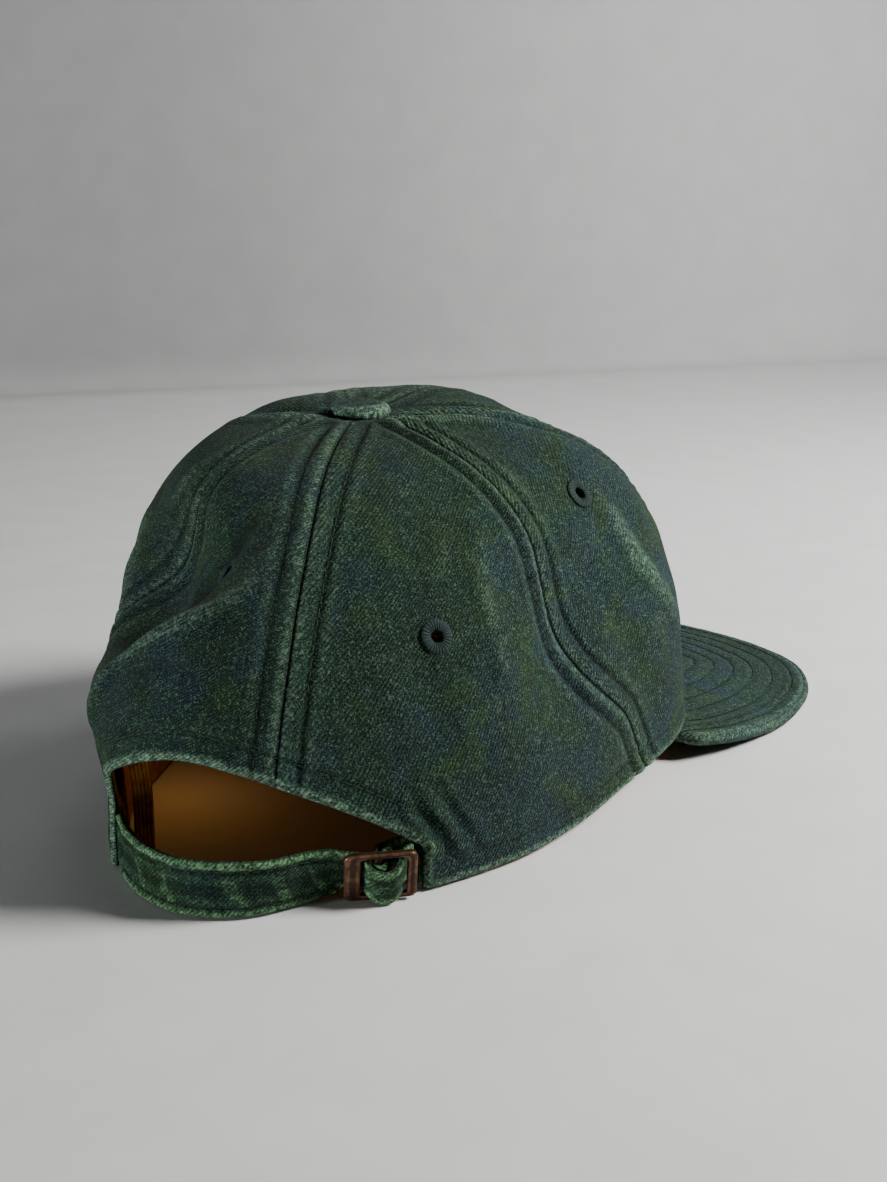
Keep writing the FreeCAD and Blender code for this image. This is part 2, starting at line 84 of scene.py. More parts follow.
# the back opening: azimuth of its sides, and the height of its edge at each azimuth
ARCH_LEFT = -9.0
ARCH_RIGHT = 47.0
ARCH_HEIGHT = [(-9, 25), (-7, 27.2), (-4, 29.8), (1.5, 33.8), (4.6, 35.6), (9, 37.3), (13.4, 37.3),
               (18, 35.6), (22, 33.3), (27, 29.4), (31, 26.1), (37.4, 20.7), (43.3, 15.3), (47, 11.5)]


def curve_value(table, x, closed=False):
    """Smooth value of an (x, value) table at x; a closed table repeats every 360 degrees."""
    xs = np.array([row[0] for row in table], float)
    ys = np.array([row[1] for row in table], float)
    x = np.asarray(x, float)
    if closed:
        x = np.mod(x, 360.0)
        xs = np.concatenate([xs[-2:] - 360, xs, xs[:3] + 360])
        ys = np.concatenate([ys[-2:], ys, ys[:3]])
    else:
        xs = np.concatenate([[2 * xs[0] - xs[1]], xs, [2 * xs[-1] - xs[-2]]])
        ys = np.concatenate([[2 * ys[0] - ys[1]], ys, [2 * ys[-1] - ys[-2]]])
    k = np.clip(np.searchsorted(xs, x, side="right") - 1, 1, len(xs) - 3)
    span = xs[k + 1] - xs[k]
    s = (x - xs[k]) / span
    m0 = (ys[k + 1] - ys[k - 1]) / (xs[k + 1] - xs[k - 1])
    m1 = (ys[k + 2] - ys[k]) / (xs[k + 2] - xs[k])
    value = ys[k] * (2 * s ** 3 - 3 * s ** 2 + 1) + ys[k + 1] * (3 * s ** 2 - 2 * s ** 3)
    return value + span * (m0 * (s ** 3 - 2 * s ** 2 + s) + m1 * (s ** 3 - s ** 2))


def crown_outer(azimuth, t):
    """Outer face of the crown as the CAD has it; t runs from the button (0) to the hem (1)."""
    azimuth, t = np.broadcast_arrays(np.asarray(azimuth, float), np.asarray(t, float))
    power = curve_value(FULLNESS, azimuth, True)
    radius = curve_value(HEM_RADIUS, azimuth, True)
    base = curve_value(HEM_HEIGHT, azimuth, True)
    run = np.sin(t * math.pi / 2)
    rise = np.maximum(0.0, np.cos(t * math.pi / 2))
    reach = (run ** power + rise ** power) ** (-1 / power)
    a = np.radians(azimuth)
    x = BUTTON_X * (1 - run * reach) - radius * run * reach * np.sin(a)
    y = BUTTON_Y * (1 - run * reach) + radius * run * reach * np.cos(a)
    z = base + (CROWN_TOP - base) * rise * reach
    for centre, radii, push in FOLDS:
        d = ((x - centre[0]) / radii[0]) ** 2 + ((y - centre[1]) / radii[1]) ** 2
        d = d + ((z - centre[2]) / radii[2]) ** 2
        w = np.exp(-0.5 * d) * np.minimum(1.0, (z - base) / FOLD_GROWTH)
        x, y, z = x + push[0] * w, y + push[1] * w, z + push[2] * w
    return np.stack([x, y, z], -1)


UPWARD = np.array([0, 0, 1.0])


def unit(v):
    """Vectors scaled to length 1."""
    return v / np.maximum(np.linalg.norm(v, axis=-1, keepdims=True), 1e-9)


def run_along(line):
    """Distance of each point of a line from its first point, measured along the line."""
    return np.concatenate([[0], np.cumsum(np.linalg.norm(np.diff(line, axis=0), axis=1))])


def crown_normal(azimuth, t):
    """Outward unit normals of the crown."""
    azimuth, t = np.broadcast_arrays(np.asarray(azimuth, float), np.asarray(t, float))
    down = crown_outer(azimuth, np.minimum(1.0, t + 0.004)) - crown_outer(azimuth, np.maximum(0.0, t - 0.004))
    across = crown_outer(azimuth + 0.5, t) - crown_outer(azimuth - 0.5, t)
    return unit(np.cross(down, across))


# ------------------------------------------------- creases and soft waves
# (points along the crease, half width, rise; a negative rise is a valley)
CREASES = [
    ([(-21, 68, 80), (-21, 74, 74), (-16, 79, 70), (-1, 82, 62), (13, 82, 53), (18, 86, 45), (20, 86, 38)],
     3.2, 3.4),
    ([(-12, 62, 86), (-2, 70, 76), (8, 70, 68), (18, 66, 62), (30, 64, 52)], 6.0, -5.0),
    ([(-50, -30, 84), (-60, -38, 64), (-64, -58, 40)], 4.5, 1.6),
    ([(-43, 16, 87), (-54, 25, 67), (-61, 25, 42)], 4.0, 0.9),
    ([(-9, 11, 103), (-12, 8, 102.6), (-15.5, 1.6, 102.3), (-19, -6.4, 101.8), (-23.4, -16.5, 101),
      (-27, -28, 99)], 3.2, 1.9),
    ([(-9.5, -4, 103.5), (-14.6, -10.6, 103), (-19.8, -19.4, 102.2)], 5.0, -2.2),
    ([(35, 16, 99), (24, 17.6, 101.6), (12, 17, 103), (3, 14, 103.2)], 3.4, 1.4),
    ([(41, 6.6, 99), (27, 7.8, 102.6), (17, 6, 103.9)], 5.0, -2.2),
    ([(40, -6, 99), (27, -12, 103), (20, -20, 103.5), (10, -28, 104.5), (0, -36, 104)], 11.0, 1.5),
    ([(-10, -42, 101), (-22, -48, 97), (-32, -54, 92)], 10.0, -2.2),
    ([(52, 31, 77), (51, 37, 67), (50, 43, 57), (44, 53, 50)], 10.0, 2.4),
    ([(-58, -12, 72), (-65, -22, 52), (-67, -30, 34)], 5.0, -1.2),
    ([(-44, 52, 70), (-55, 48, 48), (-58, 44, 26)], 6.0, -0.8),
    ([(-12, 40, 97), (-15, 56, 88), (-14, 68, 78)], 4.0, 0.9),
    ([(14, 36, 98), (26, 48, 88), (34, 50, 76)], 4.0, 1.2),
    ([(40, 38, 90), (50, 40, 74), (56, 36, 58)], 4.5, -1.2),
    ([(64, 20, 50), (62, 34, 30), (58, 42, 14)], 6.0, 1.0),
    ([(30, -60, 84), (48, -50, 66), (60, -44, 44)], 6.0, -1.0),
    ([(-20, -78, 70), (-16, -90, 48), (-12, -96, 28)], 7.0, 0.8),
]


def wave(points, size, shift=0.0):
    """Smooth noise from -1 to 1 at points in millimetres, with features of the given size."""
    flat = points.reshape(-1, 3) / size + shift
    values = np.array([noise.noise(Vector(p)) for p in flat.tolist()])
    return values.reshape(points.shape[:-1])


def flat_wave(x, y, level, size, shift=0.0):
    """Smooth noise from -1 to 1 over x and y, cut from the noise at the given level."""
    return wave(np.stack([x, y, x * 0 + level], -1), size, shift)


# (azimuth and height of each end, half width, rise): gathers beside the buckle
GATHERS = [((42.5, 25), (52.0, 3), 1.2, 0.9), ((46.5, 26), (57.0, 4), 1.3, 0.8),
           ((51.0, 28), (61.5, 6), 1.5, 0.6), ((44.5, 25.5), (54.5, 3), 1.1, -0.7),
           ((49.0, 27), (59.5, 5), 1.2, -0.6)]


# a crease this high is worn fully pale; one deeper than SHALLOW gets painted shade, fully at SHALLOW + DEEP
FULL_RIDGE = 1.4
SHALLOW = 2.2
DEEP = 2.8


def crease_field(points):
    """Total rise of the creases at each point, how far it lies on a ridge, and how much painted shade a deep
    valley gives it.
    """
    rise = np.zeros(points.shape[:-1])
    ridge = np.zeros(points.shape[:-1])
    fold_shade = np.zeros(points.shape[:-1])
    for line, width, height in CREASES + GATHER_LINES:
        spots = np.array(line, float)
        best = np.full(points.shape[:-1], 1e9)
        fade = np.zeros(points.shape[:-1])
        for k in range(len(spots) - 1):
            a, b = spots[k], spots[k + 1]
            along = np.clip(((points - a) @ (b - a)) / ((b - a) @ (b - a)), 0, 1)
            gap = np.linalg.norm(points - (a + along[..., None] * (b - a)), axis=-1)
            place = (k + along) / (len(spots) - 1)
            closer = gap < best
            best = np.where(closer, gap, best)
            fade = np.where(closer, np.sin(np.pi * np.clip(0.12 + 0.76 * place, 0, 1)), fade)
        shape = np.exp(-(best / width) ** 2) * fade
        rise += height * shape
        if height > 0:
            ridge = np.maximum(ridge, shape * min(1.0, height / FULL_RIDGE))
        else:
            # painted shade: the deep valleys are marked to be darkened in the cloth's colour
            fold_shade = np.maximum(fold_shade, shape * max(0.0, -height - SHALLOW) / DEEP)
    return rise, ridge, fold_shade


LONG_WAVE = (1.1, 34.0, 3.1)
SHORT_WAVE = (0.55, 14.0, 9.7)
PLEATS = 17
PLEAT_RISE = 0.16
PLEAT_RADIUS = 13
PLEAT_SPREAD = 7.0
BUTTON_DIP = 1.9
BUTTON_DIP_RADIUS = 18.0
STIFF_HEM = 16.0


def crown_relief(points, azimuth):
    """Rise of the soft cloth at crown points, how far each lies on a ridge, and how much painted shade the
    deep valleys give it.
    """
    rise, ridge, fold_shade = crease_field(points)
    slow = sum(height * wave(points, size, shift) for height, size, shift in (LONG_WAVE, SHORT_WAVE))
    radius = np.hypot(points[..., 0] - BUTTON_X, points[..., 1] - BUTTON_Y)
    pleat = PLEAT_RISE * np.sin(np.radians(azimuth) * PLEATS + 1.3)
    pleat *= np.exp(-((radius - PLEAT_RADIUS) / PLEAT_SPREAD) ** 2)
    foot = np.clip(points[..., 2] / STIFF_HEM, 0.15, 1.0)
    sunk = BUTTON_DIP * np.exp(-(radius / BUTTON_DIP_RADIUS) ** 2)
    return (rise + slow) * foot + pleat - sunk, ridge, fold_shade


def soft_crown(azimuth, t, lift=0.0):
    """Point and normal on the soft crown, raised by lift."""
    azimuth, t = np.broadcast_arrays(np.asarray(azimuth, float), np.asarray(t, float))
    base = crown_outer(azimuth, t)
    normal = crown_normal(azimuth, t)
    relief = crown_relief(base, azimuth)[0]
    return base + normal * (relief + lift)[..., None], normal


HALVINGS = 22


def t_of_height(azimuth, height):
    """t at which the crown stands at a height above the table; arrays in and out."""
    azimuth, height = np.broadcast_arrays(np.asarray(azimuth, float), np.asarray(height, float))
    low = np.full(azimuth.shape, 0.3)
    high = np.ones(azimuth.shape)
    for _ in range(HALVINGS):
        middle = (low + high) / 2
        above = crown_outer(azimuth, middle)[..., 2] > height
        low = np.where(above, middle, low)
        high = np.where(above, high, middle)
    return (low + high) / 2


def onto_crown(points):
    """Azimuth and t of the crown under points that stand close to it."""
    wanted = np.degrees(np.arctan2(-points[:, 0], points[:, 1]))
    azimuth = wanted.copy()
    for _ in range(4):
        there = crown_outer(azimuth, t_of_height(azimuth, points[:, 2]))
        got = np.degrees(np.arctan2(-there[:, 0], there[:, 1]))
        azimuth += (wanted - got + 180) % 360 - 180
    return azimuth, t_of_height(azimuth, points[:, 2])


def gather_lines():
    """The gathers as creases on the crown."""
    lines = []
    for start, end, width, height in GATHERS:
        azimuth = np.linspace(start[0], end[0], 5)
        level = np.linspace(start[1], end[1], 5)
        lines.append((crown_outer(azimuth, t_of_height(azimuth, level)).tolist(), width, height))
    return lines


GATHER_LINES = gather_lines()


def seam_azimuth(name, t):
    """Azimuth of a seam at t."""
    return curve_value(SEAMS[name], t)


# ------------------------------------------------------------ mesh makers
def new_object(name, vertices, faces, uv=None, values=None):
    """Mesh object from millimetre points; uv and values are per vertex."""
    mesh = bpy.data.meshes.new(name)
    mesh.from_pydata((np.asarray(vertices) * MM).tolist(), [], [list(f) for f in faces])
    if uv is not None:
        layer = mesh.uv_layers.new(name="UVMap")
        index = np.zeros(len(mesh.loops), np.int64)
        mesh.loops.foreach_get("vertex_index", index)
        layer.data.foreach_set("uv", np.asarray(uv, np.float32)[index].ravel())
    for key, data in (values or {}).items():
        attribute = mesh.attributes.new(key, "FLOAT", "POINT")
        attribute.data.foreach_set("value", np.asarray(data, np.float32).ravel())
    mesh.polygons.foreach_set("use_smooth", np.ones(len(mesh.polygons), bool))
    mesh.update()
    obj = bpy.data.objects.new(name, mesh)
    bpy.context.scene.collection.objects.link(obj)
    return obj


def grid_faces(rows, columns, wrap_rows=False, wrap_columns=False, flip=False):
    """Four-sided faces of a grid of points."""
    index = np.arange(rows * columns).reshape(rows, columns)
    if wrap_rows:
        index = np.vstack([index, index[:1]])
    if wrap_columns:
        index = np.hstack([index, index[:, :1]])
    a, b, c, d = index[:-1, :-1], index[1:, :-1], index[1:, 1:], index[:-1, 1:]
    order = (a, d, c, b) if flip else (a, b, c, d)
    return np.stack([x.ravel() for x in order], -1)


def grid_object(name, points, uv=None, values=None, wrap_rows=False, wrap_columns=False, flip=False):
    """Mesh object from a grid of points."""
    rows, columns = points.shape[:2]
    flat_uv = None if uv is None else uv.reshape(-1, 2)
    flat = {key: data.ravel() for key, data in (values or {}).items()}
    faces = grid_faces(rows, columns, wrap_rows, wrap_columns, flip)
    return new_object(name, points.reshape(-1, 3), faces, flat_uv, flat)


def tube_object(name, path, across, upward, sides, values):
    """Closed tube along a path.  across and upward are arrays of half axes, as vectors."""
    angle = np.arange(sides) * 2 * math.pi / sides
    ca = np.cos(angle)[None, :, None]
    sa = np.sin(angle)[None, :, None]
    points = path[:, None] + across[:, None] * ca + upward[:, None] * sa
    length = run_along(path)
    girth = np.linalg.norm(across, axis=1).mean() * angle
    uv = np.stack(np.broadcast_arrays(girth[None, :], length[:, None]), -1)
    around = {key: np.broadcast_to(data[:, None], points.shape[:2]) for key, data in values.items()}
    obj = grid_object(name, points, uv, around, wrap_columns=True, flip=True)
    cap_ends(obj, len(path), sides)
    return obj


def cap_ends(obj, rows, columns):
    """Closes both ends of a grid whose columns wrap round."""
    bm = bmesh.new()
    bm.from_mesh(obj.data)
    bm.verts.ensure_lookup_table()
    first = [bm.verts[k] for k in range(columns)]
    last = [bm.verts[(rows - 1) * columns + k] for k in range(columns)]
    for ring in (first, list(reversed(last))):
        face = bm.faces.new(ring)
        face.smooth = True
    bmesh.ops.recalc_face_normals(bm, faces=bm.faces)
    bm.to_mesh(obj.data)
    bm.free()


def finish_piece(obj, material, nodes=(), body="cap"):
    """Gives a piece its material, hides the CAD nodes it stands for, and attaches it to the body it rides on.
    """
    obj.data.materials.clear()
    obj.data.materials.append(material)
    if nodes:
        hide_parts(*nodes)
    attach(obj, body)
    return obj


# (place along the stitch, share of its girth)
STITCH_RINGS = [(-0.5, 0.3), (-0.36, 0.9), (0.0, 1.0), (0.36, 0.9), (0.5, 0.3)]
STITCH_SIDES = 6


def stitch_object(name, centres, along, normal, length=2.3, width=0.42, height=0.34):
    """One mesh of many thread stitches, each a small rounded bar."""
    side = unit(np.cross(normal, along))
    ring = np.arange(STITCH_SIDES) * 2 * math.pi / STITCH_SIDES
    local = np.array([(x * length, math.cos(a) * width / 2 * r, math.sin(a) * height / 2 * r)
                      for x, r in STITCH_RINGS for a in ring])
    vertices = (centres[:, None] + local[None, :, 0:1] * along[:, None]
                + local[None, :, 1:2] * side[:, None] + local[None, :, 2:3] * normal[:, None])
    per = len(local)
    faces = grid_faces(len(STITCH_RINGS), STITCH_SIDES, wrap_columns=True, flip=True).tolist()
    faces.append(list(range(STITCH_SIDES)))
    faces.append([per - 1 - k for k in range(STITCH_SIDES)])
    every = []
    for k in range(len(centres)):
        every += [[v + k * per for v in face] for face in faces]
    return new_object(name, vertices.reshape(-1, 3), every)


def spread(rows, count):
    """Vectors read off evenly along a list of vectors."""
    share = np.linspace(0, 1, count)
    own = np.linspace(0, 1, len(rows))
    return np.stack([np.interp(share, own, rows[:, k]) for k in range(3)], -1)


def stitch_rows(name, rows, length, width=0.42, height=0.34):
    """One mesh of several rows of stitches, each row its centres, tangents and normals."""
    centres, along, normal = (np.vstack(parts) for parts in zip(*rows))
    return stitch_object(name, centres, along, normal, length, width, height)


def resample(points, step):
    """Points along a polyline at an even step, and their tangents."""
    lengths = run_along(points)
    count = max(3, int(round(lengths[-1] / step)) + 1)
    at = np.linspace(0, lengths[-1], count)
    even = np.stack([np.interp(at, lengths, points[:, k]) for k in range(3)], -1)
    return even, unit(np.gradient(even, axis=0))


# -------------------------------------------------------------- materials
def srgb(r, g, b):
    """Linear colour from 0-255 display values."""
    return tuple((c / 255 / 12.92) if c / 255 <= 0.04045 else ((c / 255 + 0.055) / 1.055) ** 2.4
                 for c in (r, g, b)) + (1.0,)


class Shader:
    """Small helper for building a node material."""

    def __init__(self, name):
        self.material = bpy.data.materials.new(name)
        self.material.use_nodes = True
        self.tree = self.material.node_tree
        self.surface = self.tree.nodes["Principled BSDF"]

    def set(self, socket, value):
        if isinstance(value, bpy.types.NodeSocket):
            self.tree.links.new(value, socket)
        else:
            socket.default_value = value

    def node(self, kind, **settings):
        made = self.tree.nodes.new(kind)
        for key, value in settings.items():
            setattr(made, key, value)
        return made

    def math(self, operation, a, b=0.0, clamp=False):
        made = self.node("ShaderNodeMath", operation=operation, use_clamp=clamp)
        self.set(made.inputs[0], a)
        self.set(made.inputs[1], b)
        return made.outputs[0]

    def times(self, a, b, clamp=False):
        return self.math("MULTIPLY", a, b, clamp)

    def plus(self, a, b, clamp=False):
        return self.math("ADD", a, b, clamp)

    def mix(self, share, a, b, mode="MIX"):
        made = self.node("ShaderNodeMix", data_type="RGBA", blend_type=mode)
        self.set(made.inputs[0], share)
        self.set(made.inputs[6], a)
        self.set(made.inputs[7], b)
        return made.outputs[2]

    def between(self, value, low, high, out_low=0.0, out_high=1.0):
        """Smooth step of a value from low to high."""
        made = self.node("ShaderNodeMapRange", interpolation_type="SMOOTHSTEP", clamp=True)
        for k, v in enumerate((value, low, high, out_low, out_high)):
            self.set(made.inputs[k], v)
        return made.outputs[0]

    def noise(self, vector, scale, detail=2.0, roughness=0.5, distortion=0.0):
        """Noise about 0-1 with features of 1 / scale in the vector's units."""
        made = self.node("ShaderNodeTexNoise")
        self.set(made.inputs["Vector"], vector)
        made.inputs["Scale"].default_value = scale
        made.inputs["Detail"].default_value = detail
        made.inputs["Roughness"].default_value = roughness
        made.inputs["Distortion"].default_value = distortion
        return made.outputs[0]

    def coordinates(self, kind):
        return self.node("ShaderNodeTexCoord").outputs[kind]

    def fixed(self, name, value):
        self.surface.inputs[name].default_value = value

    def linked(self, name, value):
        """Sets one of the surface's own inputs from another node."""
        self.set(self.surface.inputs[name], value)

    def attribute(self, name):
        return self.node("ShaderNodeAttribute", attribute_name=name).outputs["Fac"]

    def scaled(self, vector, factors, shift=(0, 0, 0)):
        made = self.node("ShaderNodeMapping")
        self.set(made.inputs[0], vector)
        made.inputs[1].default_value = shift
        made.inputs[3].default_value = factors
        return made.outputs[0]

    def bump(self, height, depth_mm):
        made = self.node("ShaderNodeBump")
        made.inputs["Strength"].default_value = 1.0
        made.inputs["Distance"].default_value = depth_mm * MM
        self.set(made.inputs["Height"], height)
        return made.outputs[0]


def twill_pattern(s, pitch):
    """Diagonal ridges of twill from the UV map in millimetres, with broken yarns, 0-1."""
    uv = s.coordinates("UV")
    split = s.node("ShaderNodeSeparateXYZ")
    s.set(split.inputs[0], uv)
    wander = s.times(s.noise(uv, 0.09, 2.0), 1.6)
    diagonal = s.math("SUBTRACT", split.outputs[0], split.outputs[1])
    phase = s.times(s.plus(diagonal, wander), 2 * math.pi / (pitch * math.sqrt(2)))
    ridge = s.plus(s.times(s.math("SINE", phase), 0.5), 0.5)
    yarn = s.noise(s.scaled(uv, (1.6, 1.6, 1)), 1.6, 1.0, 0.6)
    broken = s.times(ridge, s.between(yarn, 0.25, 0.7, 0.45, 1.15))
    return uv, broken


def green_cloth(name, wear=1.0, pitch=0.84, tint=None):
    """Washed dark-green cotton twill, mottled, with pale worn ridges."""
    s = Shader(name)
    uv, twill = twill_pattern(s, pitch)
    place = s.coordinates("Object")
    base = srgb(20, 44, 32)
    bluish = srgb(21, 40, 48)
    leafy = srgb(33, 54, 24)
    dark = srgb(4, 10, 8)
    pale = srgb(108, 138, 114)
    large = s.noise(place, 28.0, 3.0, 0.55, 0.6)
    blotch = s.noise(s.scaled(place, (1, 1, 1), (0.3, 0.1, 0.7)), 62.0, 4.0, 0.6, 0.4)
    small = s.noise(place, 260.0, 3.0, 0.6)
    colour = s.mix(s.between(large, 0.44, 0.58), base, bluish)
    colour = s.mix(s.between(blotch, 0.48, 0.66, 0.0, 0.8), colour, leafy)
    colour = s.mix(s.between(small, 0.55, 0.35, 0.0, 0.45), colour, dark)
    grain = s.noise(place, 2500.0, 3.0, 0.75)
    clump = s.noise(place, 1250.0, 2.0, 0.6)
    clear = s.between(s.noise(place, 45.0, 2.0), 0.35, 0.65, 0.40, 0.75)
    colour = s.mix(s.times(s.between(twill, 0.75, 0.10), clear), colour, dark)
    colour = s.mix(s.between(clump, 0.52, 0.74, 0.0, 0.20), colour, pale)
    colour = s.mix(s.between(clump, 0.48, 0.28, 0.0, 0.50), colour, dark)
    colour = s.mix(s.between(grain, 0.53, 0.72, 0.0, 0.55), colour, pale)
    colour = s.mix(s.between(grain, 0.47, 0.28, 0.0, 0.85), colour, dark)
    seam = s.attribute("seam_mm")
    edge = s.attribute("edge_mm")
    ridge = s.attribute("ridge")
    # pale worn ridges of yarn beside the seams, along the edges and on the creases
    beside = s.times(s.between(seam, 0.35, 0.8), s.between(seam, 3.6, 1.4))
    outer = s.times(s.between(seam, 6.0, 6.9), s.between(seam, 9.6, 7.4))
    along = s.times(s.between(edge, 0.0, 0.25), s.between(edge, 2.9, 1.3))
    rub = s.noise(uv, 0.55, 4.0, 0.75)
    spotty = s.between(rub, 0.38, 0.66, 0.12, 1.0)
    worn = s.plus(s.times(beside, 0.85), s.times(outer, 0.35))
    worn = s.plus(worn, s.times(along, 2.2))
    worn = s.plus(worn, s.times(s.between(ridge, 0.25, 0.95), 1.2))
    patchy = s.noise(place, 95.0, 3.0, 0.6)
    worn = s.plus(worn, s.between(patchy, 0.56, 0.74, 0.0, 0.30))
    threads = s.times(s.between(twill, 0.25, 0.85, 0.45, 1.0), s.between(clump, 0.36, 0.62, 0.25, 1.0))
    worn = s.times(worn, s.times(spotty, threads))
    worn = s.times(worn, 0.75 * wear, clamp=True)
    colour = s.mix(worn, colour, pale)
    # dark lines where the panels join and where the stitching pulls in, and painted shade in the deep folds
    join = s.between(seam, 0.55, 0.1)
    sunk = s.times(s.between(seam, 4.1, 4.9), s.between(seam, 6.3, 5.5))
    hem_sunk = s.times(s.between(edge, 5.6, 6.2), s.between(edge, 7.6, 6.9))
    pulled_in = s.math("MAXIMUM", sunk, hem_sunk)
    shade = s.plus(s.times(join, 0.3), s.times(pulled_in, 0.36))
    # painted shade in the deep folds, where the cloth faces away from the light
    shade = s.plus(shade, s.between(s.attribute("fold_shade"), 0.06, 0.65, 0.0, 0.8), clamp=True)
    colour = s.mix(shade, colour, dark)
    if tint is not None:
        colour = s.mix(1.0, colour, tint, "MULTIPLY")
    s.linked("Base Color", colour)
    s.linked("Roughness", s.between(twill, 0.0, 1.0, 0.95, 0.82))
    s.fixed("Specular IOR Level", 0.08)
    s.fixed("Sheen Weight", 0.02)
    s.fixed("Sheen Roughness", 0.6)
    fuzz = s.plus(s.times(twill, 0.55), s.times(grain, 0.8))
    fuzz = s.plus(fuzz, s.times(small, 0.8))
    s.linked("Normal", s.bump(fuzz, 0.26))
    return s.material


RIB_PITCH = 0.95


def mustard_cloth(name, ribbed=False):
    """Mustard cotton twill, or ribbed tape."""
    s = Shader(name)
    if ribbed:
        uv = s.coordinates("UV")
        split = s.node("ShaderNodeSeparateXYZ")
        s.set(split.inputs[0], uv)
        rib = s.math("SINE", s.times(split.outputs[1], 2 * math.pi / RIB_PITCH))
        twill = s.plus(s.times(rib, 0.5), 0.5)
    else:
        uv, twill = twill_pattern(s, 0.8)
    place = s.coordinates("Object")
    base = srgb(184, 116, 36)
    deep = srgb(104, 60, 14)
    light = srgb(206, 144, 64)
    cloud = s.noise(place, 60.0, 3.0, 0.55)
    small = s.noise(place, 420.0, 3.0, 0.6)
    colour = s.mix(s.between(cloud, 0.40, 0.66), base, light)
    colour = s.mix(s.between(small, 0.58, 0.36, 0.0, 0.5), colour, deep)
    colour = s.mix(s.between(twill, 0.7, 0.1, 0.0, 0.65), colour, deep)
    s.linked("Base Color", colour)
    s.linked("Roughness", s.between(small, 0.3, 0.7, 0.95, 0.85))
    s.fixed("Specular IOR Level", 0.2)
    s.fixed("Sheen Weight", 0.1)
    s.linked("Normal", s.bump(s.plus(twill, s.times(small, 0.4)), 0.2))
    return s.material


def thread_material(name, colour, twist=0.5):
    """Sewing thread with a fine twist and uneven fading."""
    s = Shader(name)
    place = s.coordinates("Object")
    fade = s.noise(place, 130.0, 2.0)
    ply = s.noise(place, 2600.0, 2.0, 0.6)
    dark = tuple(c * 0.45 for c in colour[:3]) + (1.0,)
    mixed = s.mix(s.between(fade, 0.35, 0.65, 0.0, 0.5), colour, dark)
    mixed = s.mix(s.between(ply, 0.6, 0.4, 0.0, twist), mixed, dark)
    s.linked("Base Color", mixed)
    s.linked("Roughness", s.between(ply, 0.3, 0.7, 0.85, 0.7))
    s.fixed("Specular IOR Level", 0.3)
    s.linked("Normal", s.bump(ply, 0.06))
    return s.material


def bronze_material(name):
    """Antique brass: dark brown in the recesses, coppery where it is rubbed."""
    s = Shader(name)
    place = s.coordinates("Object")
    cloud = s.noise(place, 340.0, 3.0, 0.6)
    specks = s.noise(place, 1500.0, 3.0, 0.65)
    rubbed = s.attribute("rubbed")
    copper = s.mix(s.between(cloud, 0.38, 0.62), srgb(84, 60, 44), srgb(122, 88, 64))
    patches = s.between(cloud, 0.50, 0.72, 0.0, 0.3)
    share = s.plus(s.between(rubbed, 0.45, 1.1, 0.0, 0.8), patches, clamp=True)
    colour = s.mix(share, srgb(54, 39, 30), copper)
    colour = s.mix(s.between(specks, 0.58, 0.42, 0.0, 0.35), colour, srgb(38, 26, 20))
    s.linked("Base Color", colour)
    s.fixed("Metallic", 0.85)
    s.linked("Roughness", s.between(specks, 0.3, 0.7, 0.52, 0.36))
    s.linked("Normal", s.bump(specks, 0.03))
    return s.material


def plain_metal(name):
    """Dull grey metal."""
    s = Shader(name)
    place = s.coordinates("Object")
    cloud = s.noise(place, 900.0, 3.0, 0.6)
    s.linked("Base Color", s.mix(cloud, srgb(120, 120, 118), srgb(165, 165, 160)))
    s.fixed("Metallic", 0.9)
    s.linked("Roughness", s.between(cloud, 0.3, 0.7, 0.4, 0.55))
    return s.material


def board_material(name):
    """Grey flecked board."""
    s = Shader(name)
    place = s.coordinates("Object")
    fleck = s.noise(place, 700.0, 3.0, 0.6)
    s.linked("Base Color", s.mix(fleck, srgb(60, 58, 54), srgb(96, 92, 84)))
    s.linked("Roughness", s.between(fleck, 0.3, 0.7, 0.7, 0.85))
    return s.material


def surround_material(name, floor_colour, wall_right, shaded_wall_left):
    """Matt paper: the floor, and a backdrop behind the cap painted darker than the floor and darker still
    toward the left, as painted shade.
    """
    s = Shader(name)
    place = s.coordinates("Object")
    grain = s.noise(place, 40.0, 3.0)
    # painted shade: the backdrop darkens toward the left, and is set darker than the floor
    shaded_wall_colour = s.mix(s.between(s.attribute("left"), -420.0, 240.0), wall_right, shaded_wall_left)
    colour = s.mix(s.between(s.attribute("behind"), 690.0, 800.0), floor_colour, shaded_wall_colour)
    shaded = s.mix(1.0, colour, (0.95, 0.95, 0.95, 1.0), "MULTIPLY")
    s.linked("Base Color", s.mix(s.between(grain, 0.3, 0.7), colour, shaded))
    s.fixed("Roughness", 0.9)
    s.fixed("Specular IOR Level", 0.1)
    return s.material


GREEN = green_cloth("green_twill")
# the visor's tint is bluer and lighter than the crown's: a greyer cloth, lightened further as painted light
# where the key falls on it
GREEN_VISOR = green_cloth("green_visor_twill", wear=0.35, tint=(1.2, 1.15, 1.35, 1.0))
GREEN_STRAP = green_cloth("green_strap_twill", wear=1.25, tint=(0.74, 0.90, 0.66, 1.0))
# the button's tint is lighter than the crown's: painted light for the light on its domed top and rim
GREEN_BUTTON = green_cloth("green_button_twill", wear=0.8, pitch=0.5, tint=(1.35, 1.32, 1.35, 1.0))
MUSTARD = mustard_cloth("mustard_twill")
MUSTARD_TAPE = mustard_cloth("mustard_tape", ribbed=True)
GREEN_THREAD = thread_material("green_thread", srgb(30, 54, 40))
EYELET_THREAD = thread_material("eyelet_thread", srgb(17, 42, 40), 0.7)
MUSTARD_THREAD = thread_material("mustard_thread", srgb(205, 150, 70))
BRONZE = bronze_material("antique_bronze")
METAL = plain_metal("button_metal")
BOARD = board_material("stiff_board")

